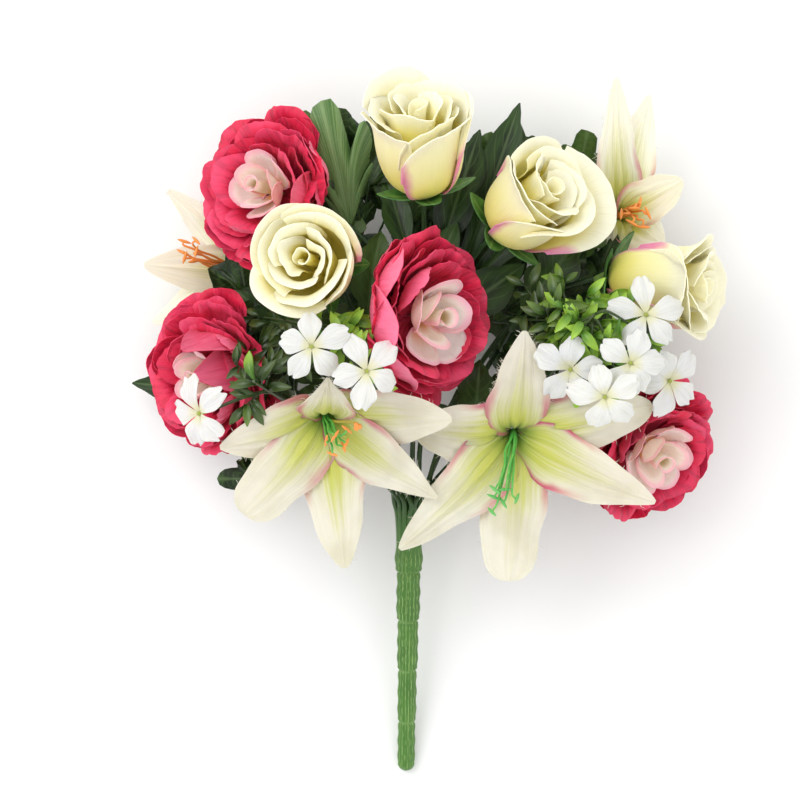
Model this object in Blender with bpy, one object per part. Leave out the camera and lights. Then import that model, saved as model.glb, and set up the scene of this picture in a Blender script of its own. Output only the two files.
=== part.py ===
"""Artificial flower bouquet, lying on its back leaves and on the tip of its handle.

Metres, +Z up. Seen from above, x is to the right and y runs up from the handle to the flowers.
The origin is on the surface, under the middle of the bouquet.
Fabric blooms sit on moulded stems, which run together in one ribbed handle.
"""

import math

import bmesh
import bpy
import numpy as np
from mathutils import Matrix

MM = 0.001
GAP = 0.3
BLADE = 0.9
CENTRE_X = 0.64
CENTRE_Y = 2.12

# Handle: where its middle line starts and ends, and its segments from the top down
HANDLE_TOP = (-10.0, -62.0, 46.0)
HANDLE_END = (-12.0, -218.5, 3.2)
HANDLE_SEGMENTS = ((28.0, 8.4), (34.0, 7.2), (34.0, 6.3), (36.0, 5.7), (29.5, 5.3))
HANDLE_SIDES = 10
RIB_RELIEF = 0.035
WAIST = 0.88

STEM_RADIUS = 1.6
STEM_SIDES = 4
STEM_STEPS = 4
COLLAR_LENGTH = 8.0
COLLAR_WALL = 1.7

# Roses: their ranks of petals, from the outside in
ROSE_RANKS = (
    {"petals": 3, "radius": 32.0, "height": 53.0, "spread": 72, "root": 1.0, "flare": 0.16, "cols": 4},
    {"petals": 3, "radius": 25.0, "height": 57.0, "spread": 70, "root": 3.5, "flare": 0.02, "cols": 3},
    {"petals": 3, "radius": 18.5, "height": 59.0, "spread": 68, "root": 6.0, "flare": -0.10, "cols": 3},
)
ROSE_SCROLL = {"turns": 1.5, "inner": 3.5, "outer": 12.0, "foot": 7.5, "height": 58.0}
ROSE_CORE = 7.0
ROSE_STEP = 2.3

# Ranunculus: each rank's side view runs through (distance from the axis, height)
RANUNCULUS_RANKS = (
    {"petals": 5, "path": ((4, 1), (34, -4), (50, 3), (54, 24)), "spread": 46, "step": 2.9},
    {"petals": 4, "path": ((4, 4), (26, 1), (43, 10), (44, 32)), "spread": 56, "step": 2.7},
    {"petals": 4, "path": ((4, 6.5), (18, 5), (35, 14), (33, 37)), "spread": 56, "step": 2.4},
)
HEART_RANK = {"petals": 3, "path": ((3, 12), (16, 11), (24, 22), (15, 39)), "spread": 70, "step": 2.0}
HEART_SCROLL = {"turns": 1.0, "inner": 3.0, "outer": 8.5, "foot": 12.0, "height": 38.0}
RANUNCULUS_CORE = 6.5
HEART_CORE_FOOT = 9.3

CALYX_LENGTH = 8.0
CALYX_TOP = -2.3
SEPALS = 5
ROSE_SEPALS = (33.0, 12.0)
RANUNCULUS_SEPALS = (14.0, 0.0)

LILY_HALF_WIDTH = 20.5
LILY_FUNNEL = 0.37
LILY_INNER = (3.0, 0.46)
LILY_OUTER = (11.0, 0.36)
LILY_CORE_TOP = 7.7
LILY_FOOT = 3.0
STAMENS = 5
FILAMENT = 0.6
ANTHER = (9.0, 1.5)

FLORET_RADIUS = 24.0
FLORET_CORNER = 19
FLORET_TUBE = 9.0

# Blooms: where the foot of each stands, and the way that it faces
ROSES = {
    "rose_top": {"foot": (-1.5, 143, 100), "faces": (-0.05, 0.84, 0.54), "open": 1.0, "tall": 1.25},
    "rose_left": {"foot": (-64, 96, 120), "faces": (-0.25, 0.1, 0.96), "open": 0.98, "tall": 1.0},
    "rose_upper_right": {"foot": (50, 125, 92), "faces": (0.61, 0.35, 0.71), "open": 1.0, "tall": 1.15},
    "rose_right": {"foot": (115, 88, 78), "faces": (0.93, -0.08, 0.36), "open": 0.84, "tall": 1.15},
}
RANUNCULUS = {
    "ranunculus_upper_left": {"foot": (-89, 141, 70), "faces": (-0.5, 0.17, 0.85), "size": 1.0},
    "ranunculus_centre": {"foot": (-10, 65, 115), "faces": (0.68, -0.05, 0.73), "size": 1.03},
    "ranunculus_lower_left": {"foot": (-126, 30, 64), "faces": (-0.6, -0.12, 0.79), "size": 0.97},
    "ranunculus_lower_right": {"foot": (134, -13, 57), "faces": (0.5, -0.45, 0.74), "size": 0.83},
}
LILIES = {
    "lily_lower_right": {
        "foot": (54, -3, 92),
        "faces": (0.05, -0.3, 0.95),
        "tips": (
            (61, 56, 138), (140, 10, 121), (142, -50, 116),
            (52, -99, 100), (-16, -79, 110), (-8, -4, 116),
        ),
        "anthers": (46, -48, 138),
        "width": 1.0,
    },
    "lily_lower_left": {
        "foot": (-62, 10, 100),
        "faces": (0.0, -0.45, 0.89),
        "tips": (
            (-60, 27, 165), (16, 2, 152), (7, -47, 126),
            (-50, -91, 104), (-112, -58, 112), (-127, -16, 126),
        ),
        "anthers": (-53, -14, 152),
        "width": 1.0,
    },
    "lily_far_left": {
        "foot": (-98, 92, 18),
        "faces": (-0.75, 0.1, 0.65),
        "tips": (
            (-161, 145, 40), (-112, 142, 34), (-78, 104, 50),
            (-96, 58, 34), (-171, 62, 26), (-176, 98, 46),
        ),
        "anthers": (-150, 106, 62),
        "width": 0.78,
    },
    "lily_far_right": {
        "foot": (117, 126, 36),
        "faces": (0.35, 0.2, 0.9),
        "tips": (
            (119, 214, 68), (140, 204, 50), (160, 150, 80),
            (149, 110, 54), (112, 92, 40), (84, 142, 54),
        ),
        "anthers": (132, 130, 84),
        "width": 0.78,
    },
}
FLORETS = {
    "floret_left_1": {"middle": (-70, 46, 176), "faces": (0.0, 0.0, 1.0), "turn": 18},
    "floret_left_2": {"middle": (-36, 31, 180), "faces": (0.15, 0.1, 0.98), "turn": 50},
    "floret_left_3": {"middle": (-140, 5, 128), "faces": (-0.2, -0.55, 0.8), "turn": 8},
    "floret_right_1": {"middle": (110, 15, 162), "faces": (0.05, -0.2, 0.98), "turn": 30},
    "floret_right_2": {"middle": (126, 36, 152), "faces": (0.15, 0.0, 0.98), "turn": 5},
    "floret_right_3": {"middle": (151, 25, 121), "faces": (0.45, -0.15, 0.88), "turn": 40},
    "floret_right_4": {"middle": (89, 32, 142), "faces": (-0.2, -0.2, 0.96), "turn": 6},
    "floret_right_5": {"middle": (136, 66, 131), "faces": (0.1, 0.1, 0.99), "turn": 20},
}
SPRIGS = {
    "sprig_right": {
        "foot": (78, 30, 74),
        "top": (97, 56, 122),
        "leaves": 10,
        "florets": ("floret_right_1", "floret_right_2", "floret_right_3", "floret_right_4", "floret_right_5"),
    },
    "sprig_left": {
        "foot": (-60, 40, 120),
        "top": (-54, 50, 150),
        "leaves": 5,
        "florets": ("floret_left_1", "floret_left_2"),
    },
    "sprig_far_left": {
        "foot": (-88, 14, 98),
        "top": (-106, 25, 140),
        "leaves": 5,
        "florets": ("floret_left_3",),
    },
}
# Leaf sprays: the stem that carries each, how far along it, and the leaves by their tips
SPRAYS = {
    "leaves_top": ("rose_top", 0.68, (
        ((-62, 198, 72), 17, "fingers"), ((-30, 172, 52), 11, "lobed"), ((34, 182, 62), 13, "lobed"),
    )),
    "leaves_upper_right": ("rose_upper_right", 0.68, (
        ((59, 199, 50), 11, "lobed"), ((99, 168, 56), 13, "lobed"), ((-4, 112, 58), 14, "lobed"),
    )),
    "leaves_right": ("rose_right", 0.66, (
        ((96, 114, 74), 14, "lobed"), ((146, 52, 40), 14, "lobed"), ((94, 84, 40), 14, "lobed"),
    )),
    "leaves_left": ("rose_left", 0.62, (
        ((-104, 62, 62), 14, "lobed"), ((-28, 118, 88), 13, "lobed"), ((-66, 70, 98), 12, "lobed"),
    )),
    "leaves_far_left": ("ranunculus_lower_left", 0.66, (
        ((-184, 20, 20), 13, "lobed"), ((-112, -34, 50), 14, "lobed"), ((-106, 58, 18), 13, "lobed"),
        ((-100, -8, 68), 13, "lobed"),
    )),
    "leaves_centre": ("ranunculus_centre", 0.62, (
        ((20, 124, 80), 14, "lobed"), ((62, 98, 70), 14, "lobed"),
    )),
    "leaves_low_right": ("ranunculus_lower_right", 0.6, (
        ((98, 2, 66), 13, "lobed"), ((160, -48, 16), 14, "lobed"),
    )),
    "leaves_mid_left": ("sprig_left", 0.65, (
        ((-90, 56, 90), 14, "lobed"), ((-36, 66, 90), 13, "lobed"),
    )),
    "leaves_mid_right": ("lily_lower_right", 0.58, (
        ((76, 52, 66), 14, "lobed"), ((34, 38, 84), 12, "lobed"),
    )),
    "leaves_back_left": ("ranunculus_upper_left", 0.58, (
        ((-74, 112, -15), 18, "resting"), ((-30, 118, 24), 15, "lobed"),
    )),
    "leaves_back_right": ("lily_far_right", 0.55, (
        ((96, 104, -7), 18, "resting"), ((40, 128, 22), 15, "lobed"),
    )),
}

# Colours, as linear red, green and blue
COLOURS = {
    "rose petal": ((0.92, 0.86, 0.47), 0.6),
    "crimson petal": ((0.62, 0.03, 0.11), 0.6),
    "pale heart": ((0.88, 0.47, 0.42), 0.6),
    "lily petal": ((0.88, 0.86, 0.55), 0.6),
    "white petal": ((0.90, 0.89, 0.83), 0.6),
    "dark leaf": ((0.03, 0.10, 0.025), 0.55),
    "stamen": ((0.06, 0.42, 0.12), 0.5),
    "orange stamen": ((0.85, 0.30, 0.07), 0.5),
    "calyx": ((0.05, 0.20, 0.03), 0.5),
    "sprig": ((0.13, 0.34, 0.03), 0.35),
    "stem": ((0.10, 0.27, 0.08), 0.5),
}

for thing in list(bpy.data.objects):
    bpy.data.objects.remove(thing)


# Working shapes: each is (points in millimetres, faces)
def unit(vector):
    vector = np.asarray(vector, float)
    return vector / np.linalg.norm(vector)


def bezier(points, t):
    a, b, c, d = (np.asarray(point, float) for point in points)
    s = 1 - t
    return s**3 * a + 3 * s * s * t * b + 3 * s * t * t * c + t**3 * d


def square_to(axis):
    """Two directions square to an axis and to each other, right-handed with it."""
    axis = unit(axis)
    side = unit(np.cross((0, 1, 0) if abs(axis[1]) < 0.9 else (0, 0, 1), axis))
    return side, np.cross(axis, side)


def blade(surface, rows, cols, thick=BLADE, mirrored=True):
    """Closed thin sheet round surface(u, v): u runs 0 to 1 from root to tip, v -1 to 1 across.

    Mirrored halves are split into triangles about the midrib, and others all the same way.
    """
    middle = np.array([[surface(u, v) for v in np.linspace(-1, 1, cols + 1)] for u in np.linspace(0, 1, rows + 1)])
    normal = np.cross(np.gradient(middle, axis=0), np.gradient(middle, axis=1))
    normal /= np.linalg.norm(normal, axis=2, keepdims=True)
    points = np.concatenate([middle + normal * thick / 2, middle - normal * thick / 2]).reshape(-1, 3)
    wide = cols + 1
    behind = (rows + 1) * wide
    faces = []
    for i in range(rows):
        for j in range(cols):
            a, b, c, d = i * wide + j, (i + 1) * wide + j, (i + 1) * wide + j + 1, i * wide + j + 1
            halves = ((a, b, d), (b, c, d)) if mirrored and 2 * j >= cols else ((a, b, c), (a, c, d))
            for half in halves:
                faces.append(half)
                faces.append(tuple(k + behind for k in reversed(half)))
    rim = [i * wide for i in range(rows)] + [rows * wide + j for j in range(cols)]
    rim += [i * wide + cols for i in range(rows, 0, -1)] + list(range(cols, 0, -1))
    for a, b in zip(rim, rim[1:] + rim[:1]):
        faces.append((b, a, a + behind))
        faces.append((b, a + behind, b + behind))
    return points, faces


def loft(rings, closed=False):
    """Closed body through rings of points, with flat ends, or with its last ring joined to its first."""
    rings = np.asarray(rings, float)
    count, sides = rings.shape[:2]
    faces = []
    for i in range(count if closed else count - 1):
        k = (i + 1) % count
        for j in range(sides):
            m = (j + 1) % sides
            a, b, c, d = i * sides + j, i * sides + m, k * sides + m, k * sides + j
            faces += [(a, b, c), (a, c, d)]
    if not closed:
        faces.append(tuple(reversed(range(sides))))
        faces.append(tuple((count - 1) * sides + j for j in range(sides)))
    return rings.reshape(-1, 3), faces


def ring(centre, axis, radius, sides, relief=0.0):
    side, other = square_to(axis)
    points = []
    for j in range(sides):
        angle = 2 * math.pi * j / sides
        reach = radius * (1 + relief * (-1) ** j)
        points.append(np.asarray(centre) + reach * (math.cos(angle) * side + math.sin(angle) * other))
    return points


def tube(path, radii, sides, last=None):
    """Round bar along a path, whose rings don't twist against each other, and whose end is square to last."""
    path = np.asarray(path, float)
    side = square_to(path[1] - path[0])[0]
    along = np.gradient(path, axis=0)
    if last is not None:
        along[-1] = last
    rings = []
    for centre, ahead, radius in zip(path, along, radii):
        ahead = unit(ahead)
        side = unit(side - np.dot(side, ahead) * ahead)
        other = np.cross(ahead, side)
        turns = [2 * math.pi * j / sides for j in range(sides)]
        rings.append([centre + radius * (math.cos(a) * side + math.sin(a) * other) for a in turns])
    return loft(rings)


def turned(profile, sides=8):
    """Body turned about z through (radius, height) pairs, from the bottom up."""
    return loft([ring((0, 0, height), (0, 0, 1), radius, sides) for radius, height in profile])


def cup_petal(path, spread, turn, step, droop):
    """Cupped petal: one edge lies inside the next petal of its rank, and the other outside the last."""

    def surface(u, v):
        t = u * (1 - droop * v * v)
        outward, up = unit(bezier(path, t + 0.01) - bezier(path, t - 0.01))
        reach, rise = bezier(path, t) + step * v * min(1, 3 * u) * np.array((up, -outward))
        angle = turn + math.radians(spread) * v * (0.3 + 0.7 * min(1, 3 * u))
        return reach * math.cos(angle), reach * math.sin(angle), rise

    return surface


def scroll_petal(scroll, tall):
    """Rolled petal at the middle of a bloom."""

    def surface(u, v):
        along = (v + 1) / 2
        reach = scroll["inner"] + (scroll["outer"] - scroll["inner"]) * along
        reach *= 0.35 + 0.65 * u**0.5
        angle = 2 * math.pi * scroll["turns"] * along
        rise = scroll["foot"] + (tall * scroll["height"] - scroll["foot"]) * u * (1 - 0.12 * along)
        return reach * math.cos(angle), reach * math.sin(angle), rise

    return surface


def mesh_of(name, shape):
    points, faces = shape
    mesh = bpy.data.meshes.new(name)
    mesh.from_pydata([tuple(point * MM) for point in points], [], faces)
    return mesh


def keep_largest_body(mesh):
    """Drops loose scraps, and fills a hollow that joining sealed, by keeping the outer skin alone."""
    work = bmesh.new()
    work.from_mesh(mesh)
    bmesh.ops.triangulate(work, faces=work.faces)
    left = set(work.faces)
    bodies = []
    while left:
        body = {left.pop()}
        edge = list(body)
        while edge:
            for link in edge.pop().edges:
                for face in link.link_faces:
                    if face in left:
                        left.remove(face)
                        body.add(face)
                        edge.append(face)
        volume = sum(face.verts[0].co.dot(face.verts[1].co.cross(face.verts[2].co)) for face in body) / 6
        bodies.append((volume, len(bodies), body))
    bodies.sort()
    for _, _, body in bodies[:-1]:
        bmesh.ops.delete(work, geom=list(body), context="FACES")
    work.to_mesh(mesh)
    work.free()


def fuse(name, shapes):
    """One body from closed shapes that run into each other: a Boolean union, applied.

    The EXACT solver leaves scraps on shared edges where blades barely touch, and MANIFOLD doesn't.
    """
    scene = bpy.context.scene.collection
    first = bpy.data.objects.new(name + " join", mesh_of(name, shapes[0]))
    scene.objects.link(first)
    rest = bpy.data.collections.new(name + " rest")
    scene.children.link(rest)
    for shape in shapes[1:]:
        rest.objects.link(bpy.data.objects.new(name + " rest", mesh_of(name, shape)))
    union = first.modifiers.new("union", "BOOLEAN")
    union.operation = "UNION"
    union.operand_type = "COLLECTION"
    union.collection = rest
    union.solver = "MANIFOLD"
    graph = bpy.context.evaluated_depsgraph_get()
    mesh = bpy.data.meshes.new_from_object(first.evaluated_get(graph))
    for thing in list(rest.objects) + [first]:
        bpy.data.objects.remove(thing)
    bpy.data.collections.remove(rest)
    keep_largest_body(mesh)
    mesh.name = name
    return mesh


# Placing: every piece hangs from the bouquet's own empty, and a bloom's pieces from the bloom's
def empty(name, parent, place):
    made = bpy.data.objects.new(name, None)
    bpy.context.scene.collection.objects.link(made)
    made.parent = parent
    made.matrix_local = place
    return made


def bloom_place(foot, faces, turn=0.0):
    """Matrix that stands a bloom's z along the way that it faces."""
    axis = unit(faces)
    side, other = square_to(axis)
    place = Matrix.Identity(4)
    for row in range(3):
        place[row][0] = side[row]
        place[row][1] = other[row]
        place[row][2] = axis[row]
        place[row][3] = foot[row] * MM
    return place @ Matrix.Rotation(math.radians(turn), 4, "Z")


def piece(name, mesh, finish, parent):
    made = bpy.data.objects.new(name, mesh)
    bpy.context.scene.collection.objects.link(made)
    mesh.materials.clear()
    mesh.materials.append(FINISHES[finish])
    mesh.shade_smooth()
    mesh.set_sharp_from_angle(angle=math.radians(50))
    made.parent = parent
    return made


def finish(name, colour, roughness):
    made = bpy.data.materials.new(name)
    made.use_nodes = True
    shader = made.node_tree.nodes["Principled BSDF"]
    shader.inputs["Base Color"].default_value = (*colour, 1.0)
    shader.inputs["Roughness"].default_value = roughness
    shader.inputs["Metallic"].default_value = 0.0
    return made


FINISHES = {name: finish(name, colour, roughness) for name, (colour, roughness) in COLOURS.items()}
BOUQUET = empty("bouquet", None, Matrix.Translation((CENTRE_X * MM, CENTRE_Y * MM, 0)))


# Calyx: a green cup under a bloom, whose rim runs out in pointed sepals
CALYX_CUP = ((STEM_RADIUS, CALYX_TOP - CALYX_LENGTH), (3.6, CALYX_TOP - 5))


def star_calyx(tip, rise):
    """The sepals' tips lie at a distance from the axis, and rise above the rim of the cup."""
    rings = [ring((0, 0, height), (0, 0, 1), radius, 2 * SEPALS) for radius, height in CALYX_CUP]
    for inner in (CALYX_TOP - 1.3, CALYX_TOP):
        star = np.array(ring((0, 0, inner), (0, 0, 1), 1.0, 2 * SEPALS))
        star[0::2, :2] *= tip
        star[1::2, :2] *= max(6.0, 0.3 * tip)
        star[0::2, 2] += rise
        rings.append(star)
    rings.append(ring((0, 0, CALYX_TOP), (0, 0, 1), 4.5, 2 * SEPALS))
    return loft(rings)


# Roses
def build_rose(name, rose):
    place = empty(name + "_place", BOUQUET, bloom_place(rose["foot"], rose["faces"]))
    shapes = [turned(((4.5, -2), (ROSE_CORE, 5), (4, 13)), 6)]
    for level, rank in enumerate(ROSE_RANKS):
        radius, height, root = rose["open"] * rank["radius"], rose["tall"] * rank["height"], rank["root"]
        path = (
            (3.0, root),
            (1.05 * radius, root),
            (0.98 * radius, 0.6 * height),
            ((1 + rank["flare"]) * radius, height),
        )
        for k in range(rank["petals"]):
            turn = 2 * math.pi * (k / rank["petals"] + 0.17 * level)
            surface = cup_petal(path, rank["spread"], turn, ROSE_STEP, 0.12)
            shapes.append(blade(surface, 2, rank["cols"], mirrored=False))
    shapes.append(blade(scroll_petal(ROSE_SCROLL, rose["tall"]), 1, 8))
    piece(name + "_petals", fuse(name + "_petals", shapes), "rose petal", place)
    piece(name + "_calyx", mesh_of(name + "_calyx", star_calyx(*ROSE_SEPALS)), "calyx", place)


# Ranunculus
def scaled(path, size):
    return tuple((size * reach, size * rise) for reach, rise in path)


def build_ranunculus(name, flower):
    size = flower["size"]
    place = empty(name + "_place", BOUQUET, bloom_place(flower["foot"], flower["faces"]))
    shapes = [turned(((4.5, -2), (RANUNCULUS_CORE, 4), (4.5, HEART_CORE_FOOT - GAP)), 6)]
    for level, rank in enumerate(RANUNCULUS_RANKS):
        path = scaled(rank["path"], size)
        for k in range(rank["petals"]):
            turn = 2 * math.pi * (k / rank["petals"] + 0.13 * level)
            surface = cup_petal(path, rank["spread"], turn, rank["step"], 0.16)
            shapes.append(blade(surface, 2, 3, mirrored=False))
    piece(name + "_petals", fuse(name + "_petals", shapes), "crimson petal", place)
    shapes = [turned(((3.6, HEART_CORE_FOOT), (5, HEART_CORE_FOOT + 3), (4, HEART_CORE_FOOT + 7)), 6)]
    path = scaled(HEART_RANK["path"], size)
    for k in range(HEART_RANK["petals"]):
        turn = 2 * math.pi * k / HEART_RANK["petals"]
        surface = cup_petal(path, HEART_RANK["spread"], turn, HEART_RANK["step"], 0.14)
        shapes.append(blade(surface, 2, 3, mirrored=False))
    shapes.append(blade(scroll_petal(HEART_SCROLL, size), 1, 5))
    piece(name + "_heart", fuse(name + "_heart", shapes), "pale heart", place)
    piece(name + "_calyx", mesh_of(name + "_calyx", star_calyx(*RANUNCULUS_SEPALS)), "calyx", place)


# Lilies: six petals leave a narrow funnel evenly, and turn outwards to their tips
def across_axis(vector, axis):
    return vector - np.dot(vector, axis) * axis


def throat_turns(lily):
    """Angles round the axis at which the petals leave the throat: sixths of a turn, near their tips' own."""
    side, other = square_to(lily["faces"])
    reach = np.asarray(lily["tips"], float) - lily["foot"]
    turns = np.unwrap(np.arctan2(reach @ other, reach @ side))
    sixths = math.copysign(math.pi / 3, turns[-1] - turns[0]) * np.arange(6)
    return np.mean(turns - sixths) + sixths


def lily_petal(lily, tip, turn, inner):
    foot = np.asarray(lily["foot"], float)
    axis = unit(lily["faces"])
    side, other = square_to(axis)
    out = math.cos(turn) * side + math.sin(turn) * other
    reach = across_axis(np.asarray(tip, float) - foot, axis)
    length = np.mean(np.linalg.norm(np.asarray(lily["tips"], float) - foot, axis=1))
    mouth, shoulder = LILY_INNER if inner else LILY_OUTER
    path = (
        foot + 1.0 * axis + 1.8 * out,
        foot + LILY_FUNNEL * length * axis + mouth * out,
        foot + shoulder * length * axis + 0.45 * reach,
        tip,
    )

    def surface(u, v):
        half = 1.2 + (lily["width"] * LILY_HALF_WIDTH - 1.2) * math.sin(math.pi * u**1.3) ** 1.9
        centre = bezier(path, u)
        radial = across_axis(centre - foot, axis)
        outward = unit(radial)
        curl = max(1.8, np.linalg.norm(radial)) * (1 + 3 * u * u)
        bend = v * half / curl
        inward = (math.cos(bend) - 1) * ((1 - u) * outward + u * axis)
        return centre + curl * (math.sin(bend) * np.cross(axis, outward) + inward)

    return surface


def build_lily(name, lily, stamen_finish):
    foot = np.asarray(lily["foot"], float)
    axis = unit(lily["faces"])
    place = empty(name + "_place", BOUQUET, Matrix.Translation([MM * value for value in lily["foot"]]))
    shapes = [tube([foot - LILY_FOOT * axis, foot + 2 * axis, foot + LILY_CORE_TOP * axis], (2.4, 3.4, 2.6), 6)]
    for k, (tip, turn) in enumerate(zip(lily["tips"], throat_turns(lily))):
        shapes.append(blade(lily_petal(lily, tip, turn, k % 2 == 0), 4, 2))
    shapes = [(points - foot, faces) for points, faces in shapes]
    piece(name + "_petals", fuse(name + "_petals", shapes), "lily petal", place)
    root = foot + (LILY_CORE_TOP + GAP) * axis
    bunch = np.asarray(lily["anthers"], float)
    side, other = square_to(axis)
    shapes = [tube([root, root + 3.5 * axis], (1.6, 1.6), 5)]
    long, thick = ANTHER
    for k in range(STAMENS):
        turn = 2 * math.pi * k / STAMENS
        spread = math.cos(turn) * side + math.sin(turn) * other
        end = bunch + 10 * spread - (2 + 3 * (k % 2)) * axis
        path = (root + 2.5 * axis + 0.9 * spread, root + 22 * axis + 3 * spread, bunch + 4 * axis + 3 * spread, end)
        line = [bezier(path, t) for t in (0, 0.5, 1)]
        line.append(end + long * unit(end - bunch))
        shapes.append(tube(line, (FILAMENT, FILAMENT, thick, 0.5), 3))
    shapes = [(points - foot, faces) for points, faces in shapes]
    piece(name + "_stamens", fuse(name + "_stamens", shapes), stamen_finish, place)


# Florets: five notched petals on a short tube, in one moulding
def petal_outline(radius, rise):
    """Outline of five petals: the gap before each, and the two corners of its notched tip."""
    points = []
    for k in range(5):
        for turn, reach, up in ((-36, 0.26, 0.1), (-FLORET_CORNER, 1, 1), (FLORET_CORNER, 1, 1)):
            angle = math.radians(72 * k + turn)
            points.append((radius * reach * math.cos(angle), radius * reach * math.sin(angle), rise * up))
    return points


def build_floret(name, floret):
    place = empty(name + "_place", BOUQUET, bloom_place(floret["middle"], floret["faces"], floret["turn"]))
    front = np.array(petal_outline(FLORET_RADIUS, 2.6))
    rings = [
        ring((0, 0, -FLORET_TUBE), (0, 0, 1), 1.3, 15),
        ring((0, 0, -1.5), (0, 0, 1), 2.6, 15),
        front - (0, 0, BLADE),
        front,
        ring((0, 0, 0.6), (0, 0, 1), 2.2, 15),
    ]
    piece(name + "_petals", mesh_of(name + "_petals", loft(rings)), "white petal", place)


# Stems: each leaves the top of the handle and comes up behind its bloom
def stem_end(name):
    if name in ROSES or name in RANUNCULUS:
        bloom = ROSES.get(name) or RANUNCULUS[name]
        axis = unit(bloom["faces"])
        return np.asarray(bloom["foot"], float) + (CALYX_TOP - CALYX_LENGTH - GAP) * axis, axis
    if name in LILIES:
        axis = unit(LILIES[name]["faces"])
        return np.asarray(LILIES[name]["foot"], float) - (LILY_FOOT + GAP) * axis, axis
    axis = unit(np.subtract(SPRIGS[name]["top"], SPRIGS[name]["foot"]))
    return np.asarray(SPRIGS[name]["foot"], float) - GAP * axis, axis


STEM_NAMES = [*ROSES, *RANUNCULUS, *LILIES, *SPRIGS]


def stem_line(name):
    """Points along a stem's middle line."""
    end, axis = stem_end(name)
    start = np.add(HANDLE_TOP, (0.04 * end[0], -3.0, 0.05 * (end[2] - 75)))
    away = end - start
    length = np.linalg.norm(away)
    first = start + (0.12 * away[0], 0.34 * length, 0.06 * away[2] + 0.02 * length)
    points = (start, first, end - 0.28 * length * axis, end)
    return [bezier(points, t) for t in np.linspace(0, 1, STEM_STEPS + 1)]


def stem_point(name, along):
    """Point on a stem's middle line, and the line's direction there."""
    line = stem_line(name)
    step = min(int(along * STEM_STEPS), STEM_STEPS - 1)
    leg = line[step + 1] - line[step]
    return line[step] + (along * STEM_STEPS - step) * leg, unit(leg)


def build_stem_frame():
    down = unit(np.subtract(HANDLE_END, HANDLE_TOP))
    centre = np.asarray(HANDLE_TOP, float)
    rings = [ring(centre - 9 * down, down, 4.6, HANDLE_SIDES)]
    for length, radius in HANDLE_SEGMENTS:
        for part, factor in ((0.0, WAIST), (0.25, 1.03), (0.75, 1.0)):
            rings.append(ring(centre + part * length * down, down, factor * radius, HANDLE_SIDES, RIB_RELIEF))
        centre = centre + length * down
    for ahead, factor in ((0.0, 0.8), (2.2, 0.45)):
        rings.append(ring(centre + ahead * down, down, factor * radius, HANDLE_SIDES))
    shapes = [loft(rings)]
    for name in STEM_NAMES:
        line = stem_line(name)
        shapes.append(tube(line, [STEM_RADIUS] * len(line), STEM_SIDES, stem_end(name)[1]))
    for points, _ in shapes:
        points[:, 2] = np.maximum(points[:, 2], 0)
    piece("stem_frame", fuse("stem_frame", shapes), "stem", BOUQUET)


# Leaves
def leaf_surface(root, tip, half_width, kind):
    """Leaf with a narrow stalk, whose edges are cut in lobes: arched, or straight with its end on the surface."""
    root = np.asarray(root, float)
    tip = np.asarray(tip, float)
    ahead = unit(tip - root)
    side = unit(np.cross(ahead, (0, 0, 1)))
    up = np.cross(side, ahead)
    length = np.linalg.norm(tip - root)
    rest = kind == "resting"
    arch = 0.0 if rest else 0.10 * length

    def surface(u, v):
        lobe = 1 + 0.2 * math.cos(4 * math.pi * u)
        half = 1.3 + (half_width - 1.3) * math.sin(math.pi * u**1.25) * lobe
        rise = 4 * arch * u * (1 - u) + (0.0 if rest else 0.16 * half * abs(v))
        point = root + u * length * ahead + v * half * side + rise * up
        if rest:
            point[2] = max(point[2], 0.4 * BLADE)
        return point

    return surface


def finger_surface(root, tip, half_width):
    """Leaf that opens like a hand: its far edge runs out in five round fingers, with pleats between."""
    root = np.asarray(root, float)
    tip = np.asarray(tip, float)
    ahead = unit(tip - root)
    side = unit(np.cross(ahead, (0, 0, 1)))
    up = np.cross(side, ahead)
    length = np.linalg.norm(tip - root)

    def surface(u, v):
        notch = 0.5 - 0.5 * math.cos(8 * math.pi * (v + 1) / 2)
        reach = u * length * (1 - 0.22 * v * v) * (1 - 0.24 * notch * u)
        half = 1.3 + (half_width - 1.3) * min(1, 1.5 * u) ** 1.5 * (1 - 0.1 * notch)
        rise = 0.10 * length * 4 * u * (1 - u) - 2.0 * notch * u
        return root + reach * ahead + v * half * side + rise * up

    return surface


def build_leaf(root, tip, half_width, kind):
    if kind == "fingers":
        return [blade(finger_surface(root, tip, half_width), 3, 8)]
    return [blade(leaf_surface(root, tip, half_width, kind), 4, 2)]


def build_spray(name, stem, along, leaves):
    centre, ahead = stem_point(stem, along)
    bore = STEM_RADIUS + 0.7
    ends = [centre - COLLAR_LENGTH / 2 * ahead, centre + COLLAR_LENGTH / 2 * ahead]
    loops = [
        ring(ends[0], ahead, bore + COLLAR_WALL, 6),
        ring(ends[1], ahead, bore + COLLAR_WALL, 6),
        ring(ends[1], ahead, bore, 6),
        ring(ends[0], ahead, bore, 6),
    ]
    shapes = [loft(loops, closed=True)]
    for tip, half_width, kind in leaves:
        reach = np.asarray(tip, float) - centre
        outward = unit(reach - np.dot(reach, ahead) * ahead)
        root = centre + (bore + 0.75) * outward
        shapes += build_leaf(root, tip, half_width, kind)
    for points, _ in shapes:
        points[:, 2] = np.maximum(points[:, 2], 0)
    shapes = [(points - centre, faces) for points, faces in shapes]
    place = empty(name + "_place", BOUQUET, Matrix.Translation(centre * MM))
    piece(name, fuse(name, shapes), "dark leaf", place)


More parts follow.
